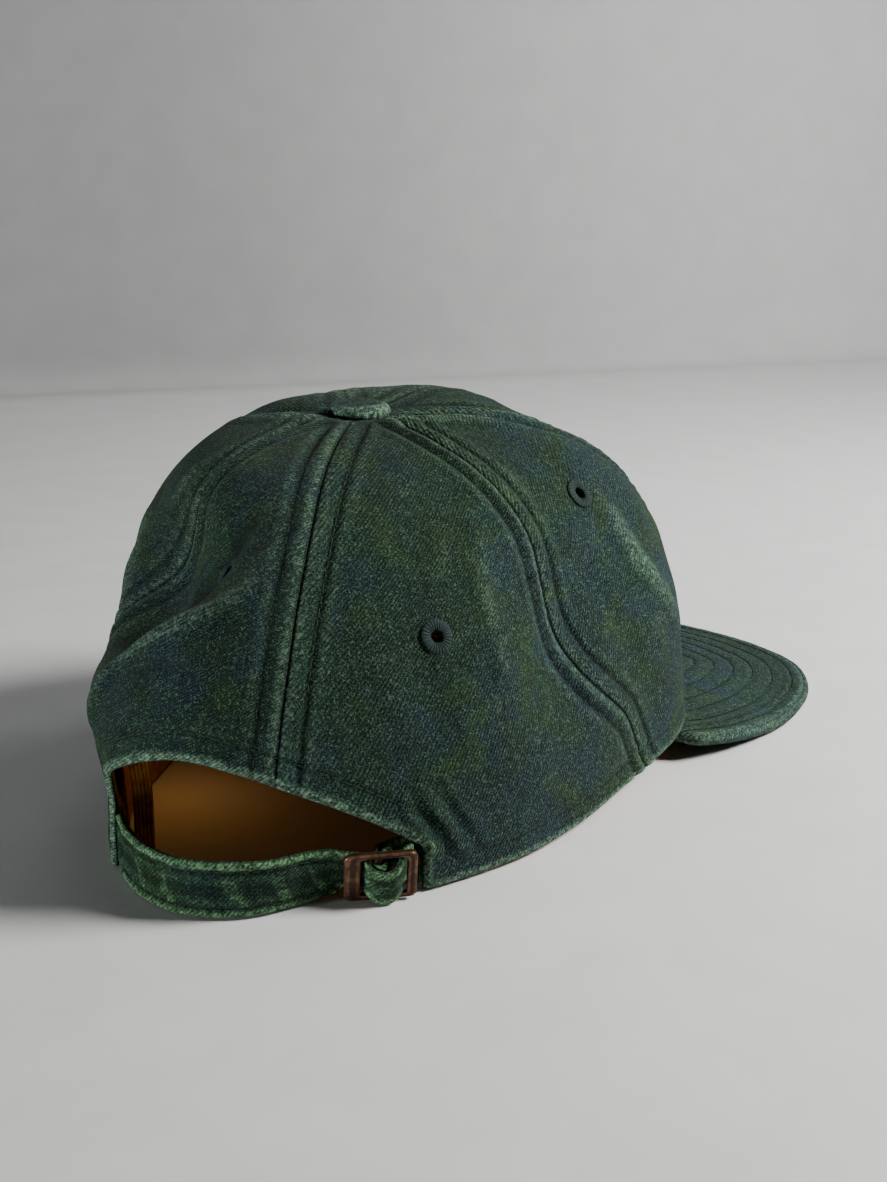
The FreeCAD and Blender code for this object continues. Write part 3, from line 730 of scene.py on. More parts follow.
# ---------------------------------------------------------- crown panels
CLOTH = 1.2
PANEL_TOP = 0.045
# rows of the grid beside a seam stay at these distances from it, out to SIDE_REACH
SIDE_STEPS = np.concatenate([np.arange(0, 3.0, 0.3), np.arange(3.0, 9.9, 0.45)])
SIDE_REACH = 9.9
# distance of the stitched rows from a seam
SEAM_ROW = 5.2
# length of a seam from the button to the hem, near enough to space the rows of a grid
CROWN_RUN = 155
HEM_LIFT = 0.5
HEM_BAND = 8.0
HEM_STEP = 0.4
# distances from a seam or an edge are not told apart beyond this
FAR = 14.0


def line_distance(points, line):
    """Distance of points from a polyline, and the length along it of the nearest spot."""
    flat = points.reshape(-1, 3)
    edge = np.diff(line, axis=0)
    sizes = np.maximum(np.linalg.norm(edge, axis=1), 1e-9)
    starts = np.concatenate([[0], np.cumsum(sizes)])
    best = np.full(len(flat), 1e9)
    place = np.zeros(len(flat))
    for k in range(len(edge)):
        share = np.clip(((flat - line[k]) @ edge[k]) / sizes[k] ** 2, 0, 1)
        gap = np.linalg.norm(flat - (line[k] + share[:, None] * edge[k]), axis=1)
        closer = gap < best
        best = np.where(closer, gap, best)
        place = np.where(closer, starts[k] + share * sizes[k], place)
    return best.reshape(points.shape[:-1]), place.reshape(points.shape[:-1])


def seam_line(name):
    """Points along a seam, from the button to the hem."""
    t = np.linspace(0.02, 1.0, 90)
    return crown_outer(seam_azimuth(name, t), t)


SEAM_LINES = {name: seam_line(name) for name in SEAMS}


def arch_edge(step=0.5):
    """The edge of the back opening as (azimuth, height) pairs, up the left, over and down the right."""
    top = np.arange(ARCH_LEFT, ARCH_RIGHT + 0.01, step)
    heights = curve_value(ARCH_HEIGHT, top)
    left = np.linspace(0.4, heights[0] - 1, 12)
    right = np.linspace(heights[-1] - 0.8, 0.4, 8)
    azimuth = np.concatenate([np.full(len(left), ARCH_LEFT), top, np.full(len(right), ARCH_RIGHT)])
    height = np.concatenate([left, heights, right])
    return azimuth, height


def arch_line():
    """Points along the edge of the back opening."""
    azimuth, height = arch_edge()
    return crown_outer(azimuth, t_of_height(azimuth, height))


def hem_line():
    """Points along the crown's lower edge, from one side of the opening to the other."""
    azimuth = np.arange(ARCH_RIGHT, ARCH_LEFT + 360 + 0.1, 1.0)
    return crown_outer(azimuth, np.ones(len(azimuth)))


ARCH_LINE = arch_line()
HEM_LINE = hem_line()


def inside_arch(azimuth, height):
    """Above zero where a crown point lies inside the back opening, in millimetres."""
    a = (np.asarray(azimuth, float) + 180) % 360 - 180
    roof = curve_value(ARCH_HEIGHT, np.clip(a, ARCH_LEFT, ARCH_RIGHT))
    return np.minimum(np.minimum((a - ARCH_LEFT) * 1.6, (ARCH_RIGHT - a) * 1.4), roof - height)


def panel_parameters(low, high, rows_step, columns):
    """Azimuth, t and uv (in mm) of a panel's grid, rows from the button to the hem."""
    tail = np.arange(0, HEM_BAND, HEM_STEP) / CROWN_RUN
    upper = np.linspace(PANEL_TOP, 1 - HEM_BAND / CROWN_RUN, int(150 / rows_step))
    t = np.concatenate([upper, (1 - tail)[::-1]])
    hem_cut = HEM_LIFT / 160
    t = t * (1 - hem_cut)
    low_azimuth = seam_azimuth(low, t)
    high_azimuth = seam_azimuth(high, t)
    high_azimuth = high_azimuth + np.where(high_azimuth[0] < low_azimuth[0], 360, 0)
    a = crown_outer(low_azimuth, t)
    c = crown_outer((low_azimuth + high_azimuth) / 2, t)
    b = crown_outer(high_azimuth, t)
    width = (np.linalg.norm(c - a, axis=1) + np.linalg.norm(b - c, axis=1)) * 1.03
    scale = np.minimum(1.0, 0.43 * width / SIDE_REACH)
    shares = []
    for w, k in zip(width, scale):
        middle = np.linspace(SIDE_REACH * k, w - SIDE_REACH * k, columns)
        shares.append(np.concatenate([SIDE_STEPS * k, middle, (w - SIDE_STEPS * k)[::-1]]) / w)
    shares = np.array(shares)
    azimuth = low_azimuth[:, None] + (high_azimuth - low_azimuth)[:, None] * shares
    t_grid = np.broadcast_to(t[:, None], azimuth.shape)
    length = run_along(c)
    u = (shares - 0.5) * width[:, None]
    v = np.broadcast_to(-length[:, None], u.shape)
    return azimuth, t_grid, u, v


def clipped(azimuth, t, u, v):
    """Vertices and faces of a panel grid with the back opening cut out of it."""
    rows, columns = azimuth.shape
    height = crown_outer(azimuth, t)[..., 2]
    inside = inside_arch(azimuth, height).ravel()
    data = np.stack([azimuth.ravel(), t.ravel(), u.ravel(), v.ravel()], -1)
    faces = grid_faces(rows, columns)
    removed = inside[faces] > 0
    whole = faces[~removed.any(1)]
    mixed = faces[removed.any(1) & ~removed.all(1)]
    extra = []
    made = {}

    def crossing(p, q):
        key = (min(p, q), max(p, q))
        if key not in made:
            share = inside[key[0]] / (inside[key[0]] - inside[key[1]])
            extra.append(data[key[0]] + (data[key[1]] - data[key[0]]) * share)
            made[key] = len(data) + len(extra) - 1
        return made[key]

    polygons = [tuple(f) for f in whole.tolist()]
    for face in mixed.tolist():
        outline = []
        for k in range(4):
            p, q = face[k], face[(k + 1) % 4]
            if inside[p] <= 0:
                outline.append(p)
            if (inside[p] > 0) != (inside[q] > 0):
                outline.append(crossing(p, q))
        if len(outline) > 2:
            polygons.append(tuple(outline))
    if extra:
        data = np.vstack([data, np.array(extra)])
    used = np.zeros(len(data), bool)
    for polygon in polygons:
        used[list(polygon)] = True
    renumber = np.cumsum(used) - 1
    return data[used], [tuple(int(renumber[p]) for p in polygon) for polygon in polygons]


def closed_shell(outer, inner, faces):
    """Vertices and faces of a shell from matching outer and inner points."""
    count = len(outer)
    every = list(faces) + [tuple(p + count for p in reversed(face)) for face in faces]
    edges = {}
    for face in faces:
        for k in range(len(face)):
            p, q = face[k], face[(k + 1) % len(face)]
            if (q, p) in edges:
                del edges[(q, p)]
            else:
                edges[(p, q)] = True
    for p, q in edges:
        every.append((q, p, p + count, q + count))
    return np.vstack([outer, inner]), every


def bell(distance, centre, width):
    """1 at the centre, falling off over the width."""
    return np.exp(-((distance - centre) / width) ** 2)


EYELET_HOLE = 2.1
# seams that lie almost flat near the button
CALM_SEAMS = ("front", "front_left")


def pierced(base, data, faces, centre):
    """Opens the eyelet's round hole: faces inside it go, and the points left in it move to its edge."""
    reach = np.linalg.norm(base - centre, axis=-1)
    faces = [face for face in faces if (reach[list(face)] > EYELET_HOLE).any()]
    used = np.zeros(len(base), bool)
    for face in faces:
        used[list(face)] = True
    renumber = np.cumsum(used) - 1
    faces = [tuple(int(renumber[point]) for point in face) for face in faces]
    stretch = np.maximum(1.0, EYELET_HOLE / np.maximum(reach, 0.2))[:, None]
    base = centre + (base - centre) * stretch
    return base[used], data[used], faces


def build_panel(name, low, high, eyelet_azimuth, eyelet_t):
    """One crown panel between two seams, 1.2 mm thick, with its eyelet's hole."""
    at_back = "back" in (low, high)
    azimuth, t, u, v = panel_parameters(low, high, 0.8 if at_back else 1.1, 78 if at_back else 52)
    data, faces = clipped(azimuth, t, u, v)
    azimuth, t = data[:, 0], data[:, 1]
    base, data, faces = pierced(crown_outer(azimuth, t), data, faces, crown_outer(eyelet_azimuth, eyelet_t))
    azimuth, t = data[:, 0], data[:, 1]
    normal = crown_normal(azimuth, t)
    relief, ridge, fold_shade = crown_relief(base, azimuth)
    low_gap, low_run = line_distance(base, SEAM_LINES[low])
    high_gap, high_run = line_distance(base, SEAM_LINES[high])
    seam = np.minimum(low_gap, high_gap)
    run = np.where(low_gap < high_gap, low_run, high_run)
    edge = line_distance(base, HEM_LINE)[0]
    if at_back:
        edge = np.minimum(edge, line_distance(base, ARCH_LINE)[0])
    from_top = np.hypot(base[:, 0] - BUTTON_X, base[:, 1] - BUTTON_Y)
    near_top = np.clip((from_top - 8) / 14, 0.12, 1)
    nearer = high_gap / np.maximum(low_gap + high_gap, 0.1)
    calm = nearer * (low in CALM_SEAMS) + (1 - nearer) * (high in CALM_SEAMS)
    near_top *= 1 - calm * (1 - np.clip((from_top - 30) / 50, 0.15, 1))
    pucker = flat_wave(run * 0.9, seam * 0.35 + run * 0.5, 3.7, 1.7)
    wobble = flat_wave(run, seam * 0.2, 0, 9.0, 5.5)
    sewn = 0.62 * bell(seam, 2.5, 1.4) * (1 + 0.5 * wobble)
    sewn += pucker * 0.36 * bell(seam, 2.4, 1.9)
    sewn -= 0.42 * bell(seam, 0, 0.40)
    sewn -= 0.45 * bell(seam, SEAM_ROW, 0.75) * (1 + 0.4 * pucker)
    sewn += 0.35 * bell(seam, 7.8, 1.5) * (1 + 0.6 * wobble)
    hemmed = 0.40 * bell(edge, 1.6, 1.1) - 0.75 * bell(edge, 0, 0.5)
    hemmed -= 0.34 * bell(edge, 6.6, 0.8)
    hemmed += 0.22 * bell(edge, 8.6, 1.4)
    fade = np.clip(edge / 2.0, 0, 1)
    outer = base + normal * (relief + sewn * near_top * (0.35 + 0.65 * fade) + hemmed)[:, None]
    inner = base + normal * (relief - CLOTH - 0.15 * bell(edge, 0, 1.0))[:, None]
    vertices, every = closed_shell(outer, inner, faces)
    flat = np.concatenate
    # the last value is the painted shade of the deep valleys
    values = {"seam_mm": flat([np.minimum(seam, FAR), np.full(len(seam), FAR)]),
              "edge_mm": flat([np.minimum(edge, FAR), np.full(len(seam), FAR)]),
              "ridge": flat([ridge, ridge * 0]), "fold_shade": flat([fold_shade, fold_shade * 0])}
    uv = np.vstack([data[:, 2:4], data[:, 2:4]])
    panel = new_object("cloth_panel_" + name, vertices, every, uv, values)
    return finish_piece(panel, GREEN, ["panel_" + name])


for panel_row in PANELS:
    build_panel(*panel_row)


# ---------------------------------------------------------- bands of cloth
def band_object(name, centre, up, out, top, bottom, thickness, relief=None, face_step=0.7,
                edge_points=5, wear=None):
    """Flat band with rounded edges.  top and bottom are the reach above and below the middle line.

    relief(run, across, edge) gives the rise of the outer face in millimetres.
    """
    count = len(centre)
    top = np.broadcast_to(np.asarray(top, float), (count,))
    bottom = np.broadcast_to(np.asarray(bottom, float), (count,))
    half = np.broadcast_to(np.asarray(thickness, float), (count,)) / 2
    run = run_along(centre)
    faces_across = max(3, int(round((top + bottom).max() / face_step)))
    share = np.linspace(0, 1, faces_across)[None]
    low = (-bottom + half)[:, None]
    high = (top - half)[:, None]
    across_out = low + (high - low) * share
    arc = np.linspace(0, math.pi, edge_points + 2)[1:-1][None]
    across_top = high + half[:, None] * np.sin(arc)
    across_bottom = low - half[:, None] * np.sin(arc)
    across = np.concatenate([across_out, across_top, across_out[:, ::-1], across_bottom], 1)
    out_face = np.broadcast_to(half[:, None], across_out.shape)
    turn = half[:, None] * np.cos(arc)
    level = np.concatenate([out_face, turn, -out_face, -turn], 1)
    edge = np.minimum(top[:, None] - across, across + bottom[:, None])
    run_grid = np.broadcast_to(run[:, None], across.shape)
    if relief is not None:
        rise = relief(run_grid, across, edge)
        face = np.ones(faces_across)
        outside = np.concatenate([face, np.cos(arc[0]), -face, -np.cos(arc[0])])
        level = level + rise * np.clip(outside, 0, 1)[None]
    points = centre[:, None] + up[:, None] * across[..., None] + out[:, None] * level[..., None]
    uv = np.stack([run_grid, across], -1)
    values = {"edge_mm": np.minimum(edge, FAR), "seam_mm": np.full(across.shape, FAR),
              "ridge": across * 0 if wear is None else wear(run_grid, across)}
    obj = grid_object(name, points, uv, values, wrap_columns=True, flip=True)
    cap_ends(obj, count, across.shape[1])
    return obj


def smooth_path(points, step):
    """Even points on a smooth curve through the given points (rows of any width)."""
    points = np.array(points, float)
    index = np.arange(len(points))
    fine = np.linspace(0, len(points) - 1, 40 * len(points))
    curve = np.stack([curve_value(list(zip(index, points[:, k])), fine) for k in range(points.shape[1])], -1)
    lengths = run_along(curve[:, :3])
    at = np.linspace(0, lengths[-1], max(3, int(round(lengths[-1] / step)) + 1))
    return np.stack([np.interp(at, lengths, curve[:, k]) for k in range(points.shape[1])], -1)


# ------------------------------------------------- seam tapes and sweatband
TAPE_START = 0.12
TAPE_HALF_WIDTH = 5.6
TAPE_LIFT = -2.3
TAPE_THICKNESS = 0.6


def build_seam_tape(seam, azimuths, places):
    """Tape along a seam on the crown's inside."""
    middle, normal = soft_crown(azimuths, places, TAPE_LIFT)
    tangent = unit(np.gradient(middle, axis=0))
    side = unit(np.cross(normal, tangent))
    tape = band_object("tape_" + seam, middle, side, normal, TAPE_HALF_WIDTH, TAPE_HALF_WIDTH,
                       TAPE_THICKNESS, face_step=1.0)
    finish_piece(tape, MUSTARD_TAPE, ["seam_tape_" + seam])


def taped(run, across, edge):
    """Relief of ribbed tape with a stitched line near each edge."""
    return 0.12 * np.sin(run * 2 * math.pi / RIB_PITCH) - 0.18 * bell(edge, 1.3, 0.45)


for seam_name in SEAMS:
    foot_azimuth = float(seam_azimuth(seam_name, 1.0))
    if seam_name == "back":
        foot_height = float(curve_value(ARCH_HEIGHT, foot_azimuth)) + 2.0
    else:
        foot_height = float(curve_value(HEM_HEIGHT, foot_azimuth, True)) + 3.0
    foot = float(t_of_height(foot_azimuth, foot_height))
    places = np.linspace(TAPE_START, foot, 170)
    build_seam_tape(seam_name, seam_azimuth(seam_name, places), places)


BAND_START = 54.0
BAND_END = 337.0
BAND_HEIGHT = 30.0
BAND_DEPTH = 4.4
BAND_THICKNESS = 1.4


def build_sweatband():
    """Sweatband round the inside of the crown, open at the back, with two rows of stitches."""
    azimuth = np.arange(BAND_START, BAND_END + 0.1, 0.8)
    hem = curve_value(HEM_HEIGHT, azimuth, True)
    middle_height = hem + BAND_HEIGHT / 2
    foot = crown_outer(azimuth, np.ones(len(azimuth)))
    head = crown_outer(azimuth, t_of_height(azimuth, hem + BAND_HEIGHT))
    normal = crown_normal(azimuth, t_of_height(azimuth, middle_height))
    up = unit(head - foot)
    out = unit(normal - up * (normal * up).sum(-1, keepdims=True))
    centre = (foot + head) / 2 - out * BAND_DEPTH
    waves = wave(centre, 26.0, 4.4)

    def soft(run, across, edge):
        return 0.25 * bell(edge, 3.0, 1.6) - 0.3 * bell(edge, 1.4, 0.4)

    centre = centre + out * (0.5 * waves)[:, None]
    band = band_object("sweatband_cloth", centre, up, out, BAND_HEIGHT / 2, BAND_HEIGHT / 2, BAND_THICKNESS,
                       relief=soft, face_step=1.0)
    finish_piece(band, MUSTARD, ["sweatband"])
    for level, label in ((BAND_HEIGHT / 2 - 1.6, "upper"), (BAND_HEIGHT / 2 - 4.0, "lower")):
        line = centre + up * level - out * (BAND_THICKNESS / 2)
        spots, tangent = resample(line, 3.0)
        inward = unit(-spread(out, len(spots)))
        stitches = stitch_object("sweatband_stitches_" + label, spots, tangent, inward, 2.2)
        finish_piece(stitches, MUSTARD_THREAD)


build_sweatband()


def build_hem_tape(side, start, end):
    """Thin mustard binding that shows below the green edge of the crown, beside the visor."""
    azimuth = np.arange(start, end, 0.7)
    foot = crown_outer(azimuth, np.ones(len(azimuth)))
    normal = crown_normal(azimuth, np.ones(len(azimuth)))
    flat = unit(normal * np.array([1, 1, 0]))
    waver = 0.12 * wave(foot, 7.0, 8.1)
    middle = foot - flat * 1.55 + np.array([0, 0, 0.55]) + UPWARD * waver[:, None]
    middle[:, 2] = np.maximum(middle[:, 2], 0.95)
    up = np.broadcast_to(UPWARD, middle.shape)
    tape = band_object("hem_binding_" + side, middle, up, flat, 2.4, 0.9, 1.1, face_step=0.5)
    finish_piece(tape, MUSTARD_TAPE)


build_hem_tape("right", ARCH_RIGHT + 4.0, 135.0)
build_hem_tape("left", 225.0, ARCH_LEFT + 358.0)


# --------------------------------------- binding of the back opening, ends
def arch_frame():
    """Line of the opening's edge, and the direction in the cloth away from the hole."""
    azimuth, height = arch_edge(0.4)
    line = crown_outer(azimuth, t_of_height(azimuth, height))
    normal = crown_normal(azimuth, t_of_height(azimuth, height))
    even, tangent = resample(line, 0.9)
    normal = unit(spread(normal, len(even)))
    away = unit(np.cross(tangent, normal))
    middle = len(away) // 2
    if away[middle][2] < 0:
        away = -away
    for _ in range(6):
        away = unit((away + np.roll(away, 1, 0) + np.roll(away, -1, 0)))
    return even, away


def build_opening_binding():
    """Tape that covers the raw edge on the inside of the opening."""
    line, away = arch_frame()
    keep = slice(3, len(line) - 3)
    centre, facing = soft_crown(*onto_crown(line + away * 4.7), -1.95)
    across = unit(away - facing * (away * facing).sum(-1, keepdims=True))
    binding = band_object("opening_binding_tape", centre[keep], across[keep], facing[keep], 4.2, 4.0, 0.8,
                          relief=taped, face_step=0.8)
    finish_piece(binding, MUSTARD_TAPE, ["opening_binding"])


build_opening_binding()


def build_band_end(name, azimuth, turn):
    """Folded ribbed end of the sweatband at one side of the opening."""
    heights = np.linspace(1.4, 29.0, 40)
    place = t_of_height(azimuth, heights)
    foot = crown_outer(azimuth, place)
    normal = unit(crown_normal(azimuth, place) * np.array([1, 1, 0]))
    along = unit(np.cross(normal, UPWARD))
    # the strip is folded inward from the crown, so its width runs toward the head
    bow = 0.7 * np.sin(heights / 29 * math.pi * 2 + azimuth)
    middle = foot - normal * 8.4 + along * (bow + turn * 1.5)[:, None]
    strip = band_object("band_end_tape_" + name, middle, -normal, along * turn, 2.6, 2.4, 1.3, relief=taped,
                        face_step=0.6)
    finish_piece(strip, MUSTARD_TAPE, ["band_end_" + name])


build_band_end("left", -12.0, 1.0)
build_band_end("right", 50.5, -1.0)


# ----------------------------------------------------------------- eyelets
EYELET_RADIUS = 2.85
EYELET_BAND = 1.35
EYELET_STITCHES = 26


def build_eyelet(name, azimuth, t):
    """Ring of satin stitches round a panel's hole."""
    centre, normal = soft_crown(azimuth, t, 0.15)
    tangent = unit(np.cross(UPWARD, normal))
    upward = np.cross(normal, tangent)
    around = np.linspace(0, 2 * math.pi, EYELET_STITCHES * 8, endpoint=False)
    slant = 0.10 * np.sin(around * 3 + azimuth)
    strand = np.abs(np.sin(around * EYELET_STITCHES / 2 + slant)) ** 0.6
    section = np.linspace(0, 2 * math.pi, 14, endpoint=False)
    ring = EYELET_RADIUS * (1 + 0.035 * np.sin(around * 2 + 1.0 + azimuth) + 0.02 * np.sin(around * 5))
    reach = EYELET_BAND * (0.88 + 0.16 * strand)
    high = 0.50 * (0.55 + 0.55 * strand)
    radial = ring[:, None] + reach[:, None] * np.cos(section)
    level = high[:, None] * np.sin(section) - 0.15
    spoke = tangent * np.cos(around)[:, None] + upward * np.sin(around)[:, None]
    points = centre + spoke[:, None] * radial[..., None] + normal * level[..., None]
    uv = np.stack(np.broadcast_arrays(around[:, None] * EYELET_RADIUS, section[None]), -1)
    stitched = grid_object("eyelet_thread_" + name, points, uv, wrap_rows=True, wrap_columns=True, flip=True)
    finish_piece(stitched, EYELET_THREAD, ["eyelet_" + name])


for panel_row in PANELS:
    build_eyelet(panel_row[0], *panel_row[3:])


# ------------------------------------------------------------------ button
BUTTON_RADIUS = 8.3
BUTTON_FLATNESS = 0.92


def build_button():
    """Low cloth-covered dome with soft gathers at its rim."""
    around = np.linspace(0, 2 * math.pi, 120, endpoint=False)
    profile = [(0.0, 4.1), (0.12, 4.1), (0.25, 4.07), (0.4, 3.98), (0.55, 3.82), (0.7, 3.56), (0.82, 3.2),
               (0.91, 2.7), (0.97, 2.05), (1.0, 1.2), (0.99, 0.4), (0.94, -0.3), (0.84, -0.7), (0.6, -0.8)]
    smooth = smooth_path([(r, h, 0) for r, h in profile], 0.055)
    smooth[0, 0] = 0.012
    seat = soft_crown(around, np.full(len(around), 0.055))[0][:, 2]
    base = seat.mean() + 0.1
    tilt_x = ((seat - seat.mean()) * -np.sin(around)).mean() * 2
    tilt_y = ((seat - seat.mean()) * np.cos(around)).mean() * 2
    radius = smooth[:, 0][:, None] * BUTTON_RADIUS
    gather = 0.10 * np.sin(around * 23)[None] * bell(smooth[:, 0][:, None], 0.97, 0.10)
    dimple = 0.16 * np.sin(around * 3 + 0.7)[None] * smooth[:, 0][:, None] ** 2
    radius = radius + gather + dimple
    x = -radius * np.sin(around)
    y = radius * np.cos(around)
    z = base + BUTTON_FLATNESS * smooth[:, 1][:, None] + (tilt_x * x + tilt_y * y) / BUTTON_RADIUS
    points = np.stack([x + BUTTON_X, y + BUTTON_Y, z], -1)
    steps = np.hypot(np.diff(smooth[:, 0]) * BUTTON_RADIUS, np.diff(smooth[:, 1]))
    arc = np.concatenate([[0], np.cumsum(steps)])[:, None]
    uv = np.stack([-arc * np.sin(around), arc * np.cos(around)], -1)
    values = {"edge_mm": np.broadcast_to(0.9 + (1 - smooth[:, 0][:, None]) * 6, x.shape),
              "seam_mm": np.full(x.shape, FAR), "ridge": x * 0}
    button = grid_object("button_cloth", points, uv, values, wrap_columns=True)
    cap_ends(button, points.shape[0], points.shape[1])
    finish_piece(button, GREEN_BUTTON, ["button_cover", "button_shell"])


build_button()


# ------------------------------------------------------------------- visor
VISOR_MIDDLE_TOP = 13.2
VISOR_FRONT_DIP = 7.0
VISOR_START = 132.5
VISOR_TUCK = 1.6
VISOR_EDGE = [(-69.5, -60), (-74.5, -73), (-77, -90), (-77, -107), (-73.5, -126), (-66, -140),
              (-56, -149), (-37, -156.5), (-19, -159.5), (0, -160.3)]
# distance of each row of stitches from the visor's edge
VISOR_ROWS = [4.2, 10.4, 16.6, 22.8, 29.0, 35.2, 41.4, 47.6]
VISOR_ROW_STEP = 6.2


def visor_height(x, y):
    """Height of the visor's top face: level along the middle, lower at the sides and the front."""
    ease = np.clip((-58 - y) / 40, 0, 1)
    dip = VISOR_FRONT_DIP * np.clip((-95 - y) / 65, 0, 1)
    drop = 5.8 + 3.5 * ease
    return VISOR_MIDDLE_TOP - dip - (drop - dip) * (np.abs(x) / 77) ** 2


def visor_lines(place):
    """Inner and outer edge points (x, y) at a place from 0 (right corner) to 18 (left corner)."""
    edge = VISOR_EDGE + [(-x, y) for x, y in reversed(VISOR_EDGE[:-1])]
    index = range(len(edge))
    outer = np.stack([curve_value([(k, edge[k][c]) for k in index], place) for c in (0, 1)], -1)
    azimuth = VISOR_START + (360 - 2 * VISOR_START) * place / (len(edge) - 1)
    inner = crown_outer(azimuth, np.ones(len(place)))[:, :2]
    size = np.linalg.norm(inner, axis=1, keepdims=True)
    return inner * (size - VISOR_TUCK) / size, outer


def visor_sway(x, y):
    """Slow rise and fall of the visor's cloth."""
    return 0.25 * flat_wave(x, y, 0, 30.0, 6.6)


def build_visor():
    """Two cloth covers, the folded edge, and the rows of stitches on both faces."""
    place = np.linspace(0, 18, 271)
    inner, outer = visor_lines(place)
    share = np.linspace(0, 1, 96)
    share = 1 - (1 - share) ** 1.15
    flat = inner[:, None] + (outer - inner)[:, None] * share[None, :, None]
    outline = np.concatenate([outer, np.zeros((len(outer), 1))], 1)
    gap = line_distance(np.concatenate([flat, np.zeros(flat.shape[:2] + (1,))], -1), outline)[0]
    x, y = flat[..., 0], flat[..., 1]
    z = visor_height(x, y)
    slow = visor_sway(x, y)
    tucked = sum(bell(gap, row, 0.75) for row in VISOR_ROWS)
    puff = 0.10 * np.cos((gap - VISOR_ROWS[0]) / VISOR_ROW_STEP * 2 * math.pi + math.pi)
    puff *= gap > VISOR_ROWS[0]
    crimp = 0.10 * flat_wave(x, y, 2, 2.4, 1.1)
    rounded = -0.9 * bell(gap, 0, 0.9)
    seam = np.abs(gap[..., None] - np.array(VISOR_ROWS)).min(-1)
    values = {"edge_mm": np.minimum(gap, FAR).ravel(), "seam_mm": np.minimum(seam * 0.9 + 5.85, FAR).ravel()}
    uv = np.stack([x, y], -1).reshape(-1, 2)
    both = {k: np.concatenate([v, v]) for k, v in values.items()}
    rows, columns = x.shape
    faces = [tuple(f) for f in grid_faces(rows, columns).tolist()]
    top = z + slow - 0.3 * tucked + puff + crimp + rounded
    under = z - 3.5 + slow * 0.5 + 0.3 * tucked - puff + 0.9 * bell(gap, 0, 0.9)
    covers = [("top", top, np.minimum(z + slow - 0.9, top - 0.25), faces),
              ("under", under, np.maximum(z - 2.75 + slow * 0.5, under + 0.25),
               [tuple(reversed(f)) for f in faces])]
    for label, outside, inside, sheet in covers:
        skins = [np.stack([x, y, level], -1).reshape(-1, 3) for level in (outside, inside)]
        vertices, every = closed_shell(skins[0], skins[1], sheet)
        piece = new_object("visor_cloth_" + label, vertices, every, np.vstack([uv, uv]), both)
        fix_normals(piece)
        finish_piece(piece, GREEN_VISOR, ["visor_" + label])
    # folded cloth round the edge of the board
    first, last = (inner[k] + (outer[k] - inner[k]) * 0.15 for k in (0, -1))
    outline = np.vstack([first, outer, last])
    rim = np.stack([outline[:, 0], outline[:, 1], visor_height(outline[:, 0], outline[:, 1]) - 1.75], -1)
    even, tangent = resample(rim, 1.2)
    for _ in range(3):
        even[1:-1] = (even[:-2] + 2 * even[1:-1] + even[2:]) / 4
    tangent = unit(np.gradient(even, axis=0))
    up = np.broadcast_to(UPWARD, even.shape)
    side = unit(np.cross(tangent, up))
    even = even - side * 0.35 * np.sign((side * even * np.array([1, 1, 0])).sum(-1).mean())
    beads = 1.0 + 0.06 * wave(even, 4.0, 2.2)
    values = {"edge_mm": np.full(len(even), 1.2), "seam_mm": np.full(len(even), FAR)}
    wide, high = side * (1.15 * beads)[:, None], up * (1.62 * beads)[:, None]
    edge = tube_object("visor_edge_fold", even, wide, high, 14, values)
    finish_piece(edge, GREEN_VISOR)
    # rows of stitching on both faces
    for level, label, face in ((0.12, "top", 1.0), (-3.62, "under", -1.0)):
        stitched = []
        for row in VISOR_ROWS:
            line = []
            for k in range(rows):
                if gap[k].max() > row + 2.5:
                    s = np.interp(-row, -gap[k], share)
                    point = inner[k] + (outer[k] - inner[k]) * s
                    line.append((point[0], point[1], float(visor_height(point[0], point[1]))))
            if len(line) > 8:
                even, tangent = resample(np.array(line), 3.1)
                even[:, 2] += visor_sway(even[:, 0], even[:, 1]) * (1 if face > 0 else 0.5)
                even[:, 2] += level - 0.12 * face
                stitched.append((even, tangent, np.broadcast_to(np.array([0, 0, face]), even.shape)))
        finish_piece(stitch_rows("visor_stitches_" + label, stitched, 2.3), GREEN_THREAD)


def fix_normals(obj):
    """Turns every face outward."""
    bm = bmesh.new()
    bm.from_mesh(obj.data)
    bmesh.ops.recalc_face_normals(bm, faces=bm.faces)
    bm.to_mesh(obj.data)
    bm.free()


build_visor()


# --------------------------------------------------- buckle, strap and tab
BUCKLE_CENTRE = np.array([-50.7, 63.1, 7.4])
BUCKLE_LEAN = math.radians(15)
BUCKLE_RUN = np.array([-0.692, -0.722, 0.0]) / math.hypot(0.692, 0.722)
OUT_FLAT = np.array([BUCKLE_RUN[1], -BUCKLE_RUN[0], 0.0])
BUCKLE_UP = np.array([0, 0, math.cos(BUCKLE_LEAN)]) + OUT_FLAT * math.sin(BUCKLE_LEAN)
BUCKLE_OUT = OUT_FLAT * math.cos(BUCKLE_LEAN) - np.array([0, 0, math.sin(BUCKLE_LEAN)])
BUCKLE_HEIGHT = 13.5
BUCKLE_THICKNESS = 1.6
RAIL = 1.4
LEFT_BAR = (-8.4, -4.4)
RIGHT_BAR = (6.6, 9.0)
CENTRE_BAR_RADIUS = 0.8
# level of the strap's middle where it passes under the buckle
UNDER_LEVEL = -3.1


def on_buckle(run, out, up=0.0):
    """Point at distances along, out of and up the buckle's own axes."""
    run, out, up = (part[..., None] for part in np.broadcast_arrays(np.asarray(run, float), out, up))
    return BUCKLE_CENTRE + BUCKLE_RUN * run + BUCKLE_OUT * out + BUCKLE_UP * up


